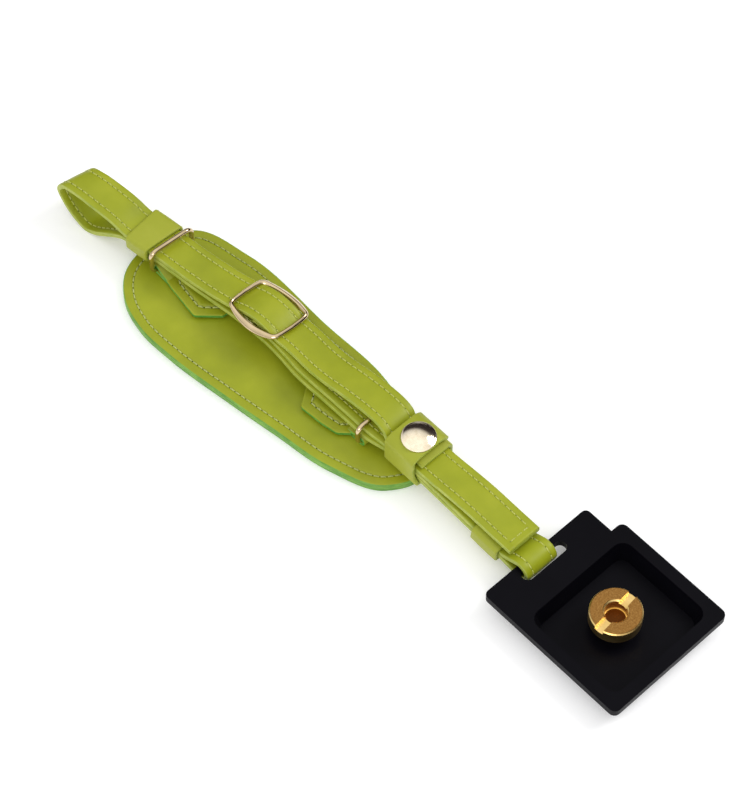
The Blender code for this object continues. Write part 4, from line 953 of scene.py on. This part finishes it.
tab_piece("tab_upper_leather", "tab_upper", UPPER_RING_X, strap_line(UPPER_RING_X), 1.0,
          UPPER_TAB_SLOPE, [(4.6, TAB_NECK_HALF), (8.0, 6.6), (13.0, 7.0), (20.0, 7.6),
                            (25.5, 1.2)], (9.0, 18.5))
tab_piece("tab_lower_leather", "tab_lower", LOWER_RING_X,
          strap_line(LOWER_RING_X) - LOWER_TAB_SHIFT, -1.0, LOWER_TAB_SLOPE,
          [(3.6, 6.2), (6.5, 9.2), (12.0, 10.2), (20.0, 11.0), (27.0, 1.2)], (9.0, 19.0))


# Keepers

KEEPER_CORNER = 1.5


def box_corners(half_width, half_height):
    return [(-half_width, -half_height), (half_width, -half_height),
            (half_width, half_height), (-half_width, half_height)]


def keeper_piece(name, node, body, x, length, middle_z, slope, skew):
    """A sewn sleeve of leather. Its skew slants the end on the right, along its strap's width."""
    half_width = STRAP_WIDTH / 2 + GAP
    half_height = (LAYER + STRAP_THICKNESS) / 2 + GAP
    inner = rounded_corners(box_corners(half_width, half_height),
                            KEEPER_CORNER - KEEPER_LEATHER)
    outer = rounded_corners(
        box_corners(half_width + KEEPER_LEATHER, half_height + KEEPER_LEATHER), KEEPER_CORNER)
    bm = bmesh.new()
    rows = []
    half = length / 2
    profile = [(-half + 0.25, 0.0), (-half + 0.06, 0.12), (-half, 0.5), (-half + 0.06, 0.86),
               (-half + 0.3, 1.0)]
    for step in range(9):
        t = -1 + 2 * step / 8
        profile.append((t * (half - 0.9), 1.0 + 0.06 * (1 - t * t)))
    profile += [(half - 0.3, 1.0), (half - 0.06, 0.86), (half, 0.5), (half - 0.06, 0.12),
                (half - 0.25, 0.0)]
    for along, share in profile:
        ring = []
        for a, b in zip(inner, outer):
            sideways, z = np.array(a) * (1 - share) + np.array(b) * share
            slant = skew * sideways * max(along / half, 0.0)
            ring.append(bm.verts.new(Vector((along + slant, sideways, z)) * MM))
        rows.append(ring)
    ends = (0, 1, 2, len(rows) - 4, len(rows) - 3, len(rows) - 2)
    rows.append(rows[0])
    join_rows(bm, rows, lambda level, index: 1 if level in ends else 0)
    turn = Matrix.Rotation(math.atan(strap_slope(x)), 4, "Z") @ Matrix.Rotation(
        -math.atan(slope), 4, "Y")
    bm.transform(Matrix.Translation(on_strap(x, middle_z)) @ turn)
    made = finish_piece(name, bm, [KEEPER_FINISH, STRAP_EDGE])
    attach(made, body)
    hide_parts(node)


keeper_piece("keeper_upper_leather", "keeper_upper", "upper_keeper",
             UPPER_KEEPER_X - RING_CLEAR / 2, UPPER_KEEPER_LENGTH - RING_CLEAR,
             RETURN_RING_Z + UPPER_RISE + LAYER / 2, 0.0, KEEPER_SKEW)
keeper_piece("keeper_lower_leather", "keeper_lower", "lower_keeper", LOWER_KEEPER_X,
             LOWER_KEEPER_LENGTH, RETURN_KEEPER_Z + LAYER / 2, RUN_SLOPE, 0.0)


# Press-stud band

RIVET_ROOM = 0.45
STUD_ROOM = 1.6
FLAP_TOP_HALF = 4.6
low_z = RETURN_BAND_Z - HALF - GAP - BAND_LEATHER / 2
under_z = TAIL_BAND_Z + HALF + RIVET_ROOM + BAND_LEATHER / 2
edge_z = under_z + BAND_LEATHER + GAP
top_z = under_z + BAND_LEATHER + STUD_ROOM
side_y = STRAP_WIDTH / 2 + GAP + BAND_LEATHER / 2
wrap = [(-side_y + 1.9, under_z), (side_y, under_z), (side_y, low_z), (-side_y, low_z),
        (-side_y, edge_z)]
wrap_path = rounded_corners(wrap, 1.3, closed=False)
flap_path = rounded_corners([
    (-side_y, edge_z - 1.0), (-side_y, edge_z + 0.45), (-FLAP_TOP_HALF, top_z),
    (FLAP_TOP_HALF, top_z), (side_y, edge_z + 0.1),
], [0.0, 0.7, 3.0, 3.0, 0.0], closed=False)
band_path = np.array(wrap_path[:-1] + flap_path)
lengths = lengths_along(band_path)
wanted = np.linspace(0.0, lengths[-1], 120)
band_points = row_at(wanted, lengths, band_path).T
bm = bmesh.new()
rows = []
for index, (y, z) in enumerate(band_points):
    run = run_at(band_points, index)
    out = Vector((run.y, -run.x))
    flap = np.clip((wanted[index] - lengths[len(wrap_path) - 2]) / 2.0, 0.0, 1.0)
    end = BAND_WIDTH / 2 - (BAND_WIDTH - FLAP_WIDTH) * flap
    start = -BAND_WIDTH / 2
    rounded = 0.8 if index < 2 or index > len(band_points) - 3 else 1.0
    section = [(start, 0.5), (start + 0.08, 0.85), (start + 0.3, 1.0), (start + 3.0, 1.03),
               (end - 3.0, 1.03), (end - 0.3, 1.0), (end - 0.08, 0.85), (end, 0.5),
               (end, -0.5), (end - 0.08, -0.85), (end - 0.3, -1.0), (start + 0.3, -1.0),
               (start + 0.08, -0.85), (start, -0.5)]
    rows.append([
        bm.verts.new(Vector((x, y + out.x * share * rounded * BAND_LEATHER / 2,
                             z + out.y * share * rounded * BAND_LEATHER / 2)) * MM)
        for x, share in section
    ])
join_rows(bm, rows, lambda level, index: 1 if index in (0, 6, 7, 8, 12, 13) else 0)
close_ends(bm, rows, 1)
bm.transform(Matrix.Translation(on_strap(BAND_X, 0.0)))
band = finish_piece("snap_band_leather", bm, [KEEPER_FINISH, STRAP_EDGE])
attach(band, BODY)
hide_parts("snap_band")


# Metal fittings

def ring_piece(name, node, body, x, shift, slope, slack):
    half = RING_WIDTH / 2 + WIRE / 2
    rise = RING_HEAD_Z + slack - RING_FOOT_Z
    path = rounded_corners([(-half, 0.0), (half, 0.0), (half, rise), (-half, rise)], RING_CORNER,
                           steps=10)
    curve = bpy.data.curves.new(name, "CURVE")
    curve.dimensions = "3D"
    curve.bevel_depth = WIRE / 2 * MM
    curve.bevel_resolution = 6
    spline = curve.splines.new("POLY")
    spline.points.add(len(path) - 1)
    for point, (y, z) in zip(spline.points, path):
        point.co = (0.0, y * MM, z * MM, 1.0)
    spline.use_cyclic_u = True
    spline.use_smooth = True
    curve.materials.append(CHAMPAGNE)
    made = new_object(name, curve)
    made.location = on_strap(x, RING_FOOT_Z, shift)
    made.rotation_euler.z = math.atan(slope)
    bpy.context.view_layer.update()
    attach(made, body)
    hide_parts(node)


ring_piece("ring_upper_wire", "ring_upper", "upper_ring", UPPER_RING_X, 0.0, UPPER_TAB_SLOPE,
           UPPER_RISE + 0.9)
ring_piece("ring_lower_wire", "ring_lower", "lower_ring", LOWER_RING_X, LOWER_RING_SHIFT, 0.0, 0.2)

RIDGE = 1.35
SLIDER_SIDE_WIDTH = 2.7
SLIDER_SIDE_HEIGHT = 3.0
SLIDER_SIDE_RISE = 1.15


def slider_line():
    """Middle line of the slider's frame: end bars that bow a little and sides that bow more."""
    end_half = 6.0
    end_bow = 0.45
    bow = SLIDER_SIDE - end_half
    radius = (SLIDER_REACH ** 2 + bow ** 2) / (2 * bow)
    half_angle = math.degrees(math.asin(SLIDER_REACH / radius))
    far = arc(0.0, SLIDER_SIDE - radius, radius, 90 - half_angle, 90 + half_angle, 12)
    far += [(-SLIDER_REACH - end_bow * (1 - (y / end_half) ** 2), y) for y in (3.6, 0.0, -3.6)]
    near = [(-x, -y) for x, y in far]
    radii = [1.9, *[0.0] * 11, 1.9, 0.0, 0.0, 0.0]
    line = rounded_corners(far + near, radii * 2)
    skew = 0.13
    return even_outline(np.array([(x + skew * y, y) for x, y in line]), 160)


def slider_piece():
    """The frame, ridged along its top, and the bar across its middle."""
    bm = bmesh.new()
    section = 24
    side_z = SLIDER_BAR_Z + SLIDER_SIDE_RISE
    line = slider_line()
    around = len(line)
    rings = []
    for step in range(around):
        middle = Vector((*line[step], 0.0))
        run = Vector((*(line[(step + 1) % around] - line[step - 1]), 0.0)).normalized()
        outward = Vector((run.y, -run.x, 0.0))
        if outward.dot(middle) < 0:
            outward = -outward
        lengthwise = min(abs(middle.x) / (SLIDER_REACH - 0.6), 1.0)
        sideness = math.cos(math.pi / 2 * lengthwise) ** 0.8 if abs(middle.y) > 5.0 else 0.0
        half_width = (SLIDER_END_WIRE + (SLIDER_SIDE_WIDTH - SLIDER_END_WIRE) * sideness) / 2
        half_height = (SLIDER_END_WIRE + (SLIDER_SIDE_HEIGHT - SLIDER_END_WIRE) * sideness) / 2
        middle.z = SLIDER_END_Z + (side_z - SLIDER_END_Z) * sideness
        ring = []
        for corner in range(section):
            turn = 2 * math.pi * corner / section
            ridge = (abs(math.cos(turn)) ** RIDGE + abs(math.sin(turn)) ** RIDGE) ** (-1 / RIDGE)
            offset = outward * half_width * ridge * math.cos(turn)
            offset.z = half_height * ridge * math.sin(turn)
            ring.append(bm.verts.new((middle + offset) * MM))
        rings.append(ring)
    join_rows(bm, [*rings, rings[0]])
    bmesh.ops.create_cone(
        bm, cap_ends=True, segments=24, radius1=SLIDER_BAR / 2 * MM, radius2=SLIDER_BAR / 2 * MM,
        depth=2 * SLIDER_SIDE * MM,
        matrix=Matrix.Translation((0.0, 0.0, SLIDER_BAR_Z * MM)) @ Matrix.Rotation(
            math.pi / 2, 4, "X"))
    place = on_strap(SLIDER_X, 0.0, SLIDER_SHIFT)
    bm.transform(Matrix.Translation(place) @ Matrix.Rotation(
        math.atan(strap_slope(SLIDER_X)), 4, "Z"))
    made = finish_piece("slider_frame", bm, [CHAMPAGNE])
    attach(made, BODY)
    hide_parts("slider_buckle")


slider_piece()

cap_low, cap_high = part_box("snap_cap")
cap_middle = (cap_low + cap_high) / 2
CAP_RADIUS = 4.9
CAP_HEIGHT = 1.8
CAP_DOME = 1.42
CAP_STEPS = 14
bm = bmesh.new()
seat = cap_high.z / MM - CAP_HEIGHT
profile = []
ball = (CAP_RADIUS ** 2 + CAP_DOME ** 2) / (2 * CAP_DOME)
for step in range(CAP_STEPS + 1):
    radius = CAP_RADIUS * step / CAP_STEPS
    profile.append((radius, seat + CAP_HEIGHT - ball + math.sqrt(ball ** 2 - radius ** 2)))
profile += [(5.06, seat + 0.36), (5.1, seat + 0.2), (5.02, seat + 0.06), (4.85, seat)]
profile += [(0.0, seat)]
verts = [bm.verts.new((r * MM, 0.0, z * MM)) for r, z in profile]
edges = [bm.edges.new(pair) for pair in zip(verts, verts[1:])]
bmesh.ops.spin(bm, geom=verts + edges, axis=(0, 0, 1), cent=(0, 0, 0), steps=64,
               angle=2 * math.pi, use_duplicate=False)
bmesh.ops.remove_doubles(bm, verts=bm.verts[:], dist=0.001 * MM)
for face in bm.faces:
    face.smooth = True
bm.transform(Matrix.Translation((cap_middle.x, cap_middle.y, 0.0)))
cap = finish_piece("snap_cap_dome", bm, [CAP_METAL])
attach(cap, BODY)
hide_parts("snap_cap")


# Carried-over solids

def dress(node, material, bevel=None, segments=3, edge=None):
    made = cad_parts[node]
    for slot in made.material_slots:
        slot.material = material
    if bevel:
        modifier = made.modifiers.new("Rounded edges", "BEVEL")
        modifier.width = bevel * MM
        modifier.segments = segments
        modifier.limit_method = "ANGLE"
        modifier.angle_limit = math.radians(30)
        # The bevel faces take the edge material, which on the base plate is a painted highlight.
        if edge:
            made.data.materials.append(edge)
            modifier.material = len(made.data.materials) - 1
    return made


for node in ("snap_socket", "snap_stud", "snap_post"):
    dress(node, CHAMPAGNE)
dress("base_plate", PLASTIC, 0.22, edge=PLASTIC_EDGE_HIGHLIGHT)
dress("rubber_seat", RUBBER)
dress("tripod_screw", BRASS, 0.16, 2)
dress("screw_washer", STEEL)


# Floor, light and camera

FLOOR_GLOW = 0.18
SKY_LEAN = -0.42
SKY_STRENGTH = 1.16
SKY_STOPS = (
    (0.0, (0.022, 0.018, 0.020)), (0.27, (0.030, 0.025, 0.028)), (0.46, (0.58, 0.58, 0.59)),
    (0.70, (0.84, 0.84, 0.84)), (0.92, (1.0, 1.0, 1.0)),
)
FOCAL_PIXELS = 2891.0
PICTURE_WIDTH = 750.0
PICTURE_HEIGHT = 800.0
SCREW_PIXEL_X = 615.61
SCREW_PIXEL_Y = 615.06
PLATE_TOP_Z = 8.0
CAMERA_DISTANCE = 787.86
CAMERA_AZIMUTH = math.radians(46.83)
CAMERA_ELEVATION = math.radians(57.16)
SENSOR = 36.0

bm = bmesh.new()
bmesh.ops.create_grid(bm, x_segments=2, y_segments=2, size=4.0)
floor_material = bpy.data.materials.new("studio_floor_finish")
floor_finish = Finish(floor_material)
floor_stops = ((0.3, (0.90, 0.90, 0.905)), (0.7, (0.93, 0.93, 0.93)))
slow = floor_finish.noise(floor_finish.place(), 3.0, 2.0, 0.5)
floor_finish.show({
    "Base Color": floor_finish.ramp(slow, floor_stops), "Roughness": 0.9,
    "Specular IOR Level": 0.1, "Emission Color": (1.0, 1.0, 1.0, 1.0),
    "Emission Strength": FLOOR_GLOW,
})
floor = finish_piece("studio_floor", bm, [floor_material])
floor.location.z = -0.00005

world = bpy.data.worlds.new("studio")
sky = Finish(world, "Background")
split = sky.add("SeparateXYZ", {"Vector": sky.add("TexCoord", {}, "Generated")}).outputs
lean = sky.add("Math", {0: split["Y"], 1: SKY_LEAN, 2: split["Z"]}, "Value",
               operation="MULTIPLY_ADD")
sky.show({"Color": sky.ramp(lean, SKY_STOPS), "Strength": SKY_STRENGTH})
bpy.context.scene.world = world
bpy.context.scene.view_settings.view_transform = "Standard"


def area_light(name, place, size, power):
    """A rectangular light that faces the origin."""
    light = bpy.data.lights.new(name, "AREA")
    light.shape = "RECTANGLE"
    light.size = size[0]
    light.size_y = size[1]
    light.energy = power
    made = new_object(name, light)
    made.location = place
    made.rotation_mode = "QUATERNION"
    made.rotation_quaternion = (-Vector(place)).to_track_quat("-Z", "Y")


area_light("key", (0.35, 0.75, 0.80), (0.5, 0.4), 6.0)
area_light("front", (0.45, -0.75, 0.40), (0.5, 0.3), 1.5)

camera_data = bpy.data.cameras.new("photo_camera")
camera_data.lens = FOCAL_PIXELS / PICTURE_HEIGHT * SENSOR
camera_data.sensor_width = SENSOR
camera_data.clip_start = 0.01
camera_data.clip_end = 20.0
camera = new_object("photo_camera", camera_data)
right = Vector((math.cos(CAMERA_AZIMUTH), math.sin(CAMERA_AZIMUTH), 0.0))
back = Vector((math.sin(CAMERA_AZIMUTH) * math.cos(CAMERA_ELEVATION),
               -math.cos(CAMERA_AZIMUTH) * math.cos(CAMERA_ELEVATION),
               math.sin(CAMERA_ELEVATION)))
up = back.cross(right)
per_pixel = CAMERA_DISTANCE / FOCAL_PIXELS
aim = Vector((0.0, 0.0, PLATE_TOP_Z))
aim -= right * (SCREW_PIXEL_X - PICTURE_WIDTH / 2) * per_pixel
aim += up * (SCREW_PIXEL_Y - PICTURE_HEIGHT / 2) * per_pixel
camera.location = (aim + back * CAMERA_DISTANCE + SHIFT) * MM
camera.rotation_mode = "QUATERNION"
camera.rotation_quaternion = Matrix((right, up, back)).transposed().to_quaternion()
bpy.context.scene.camera = camera
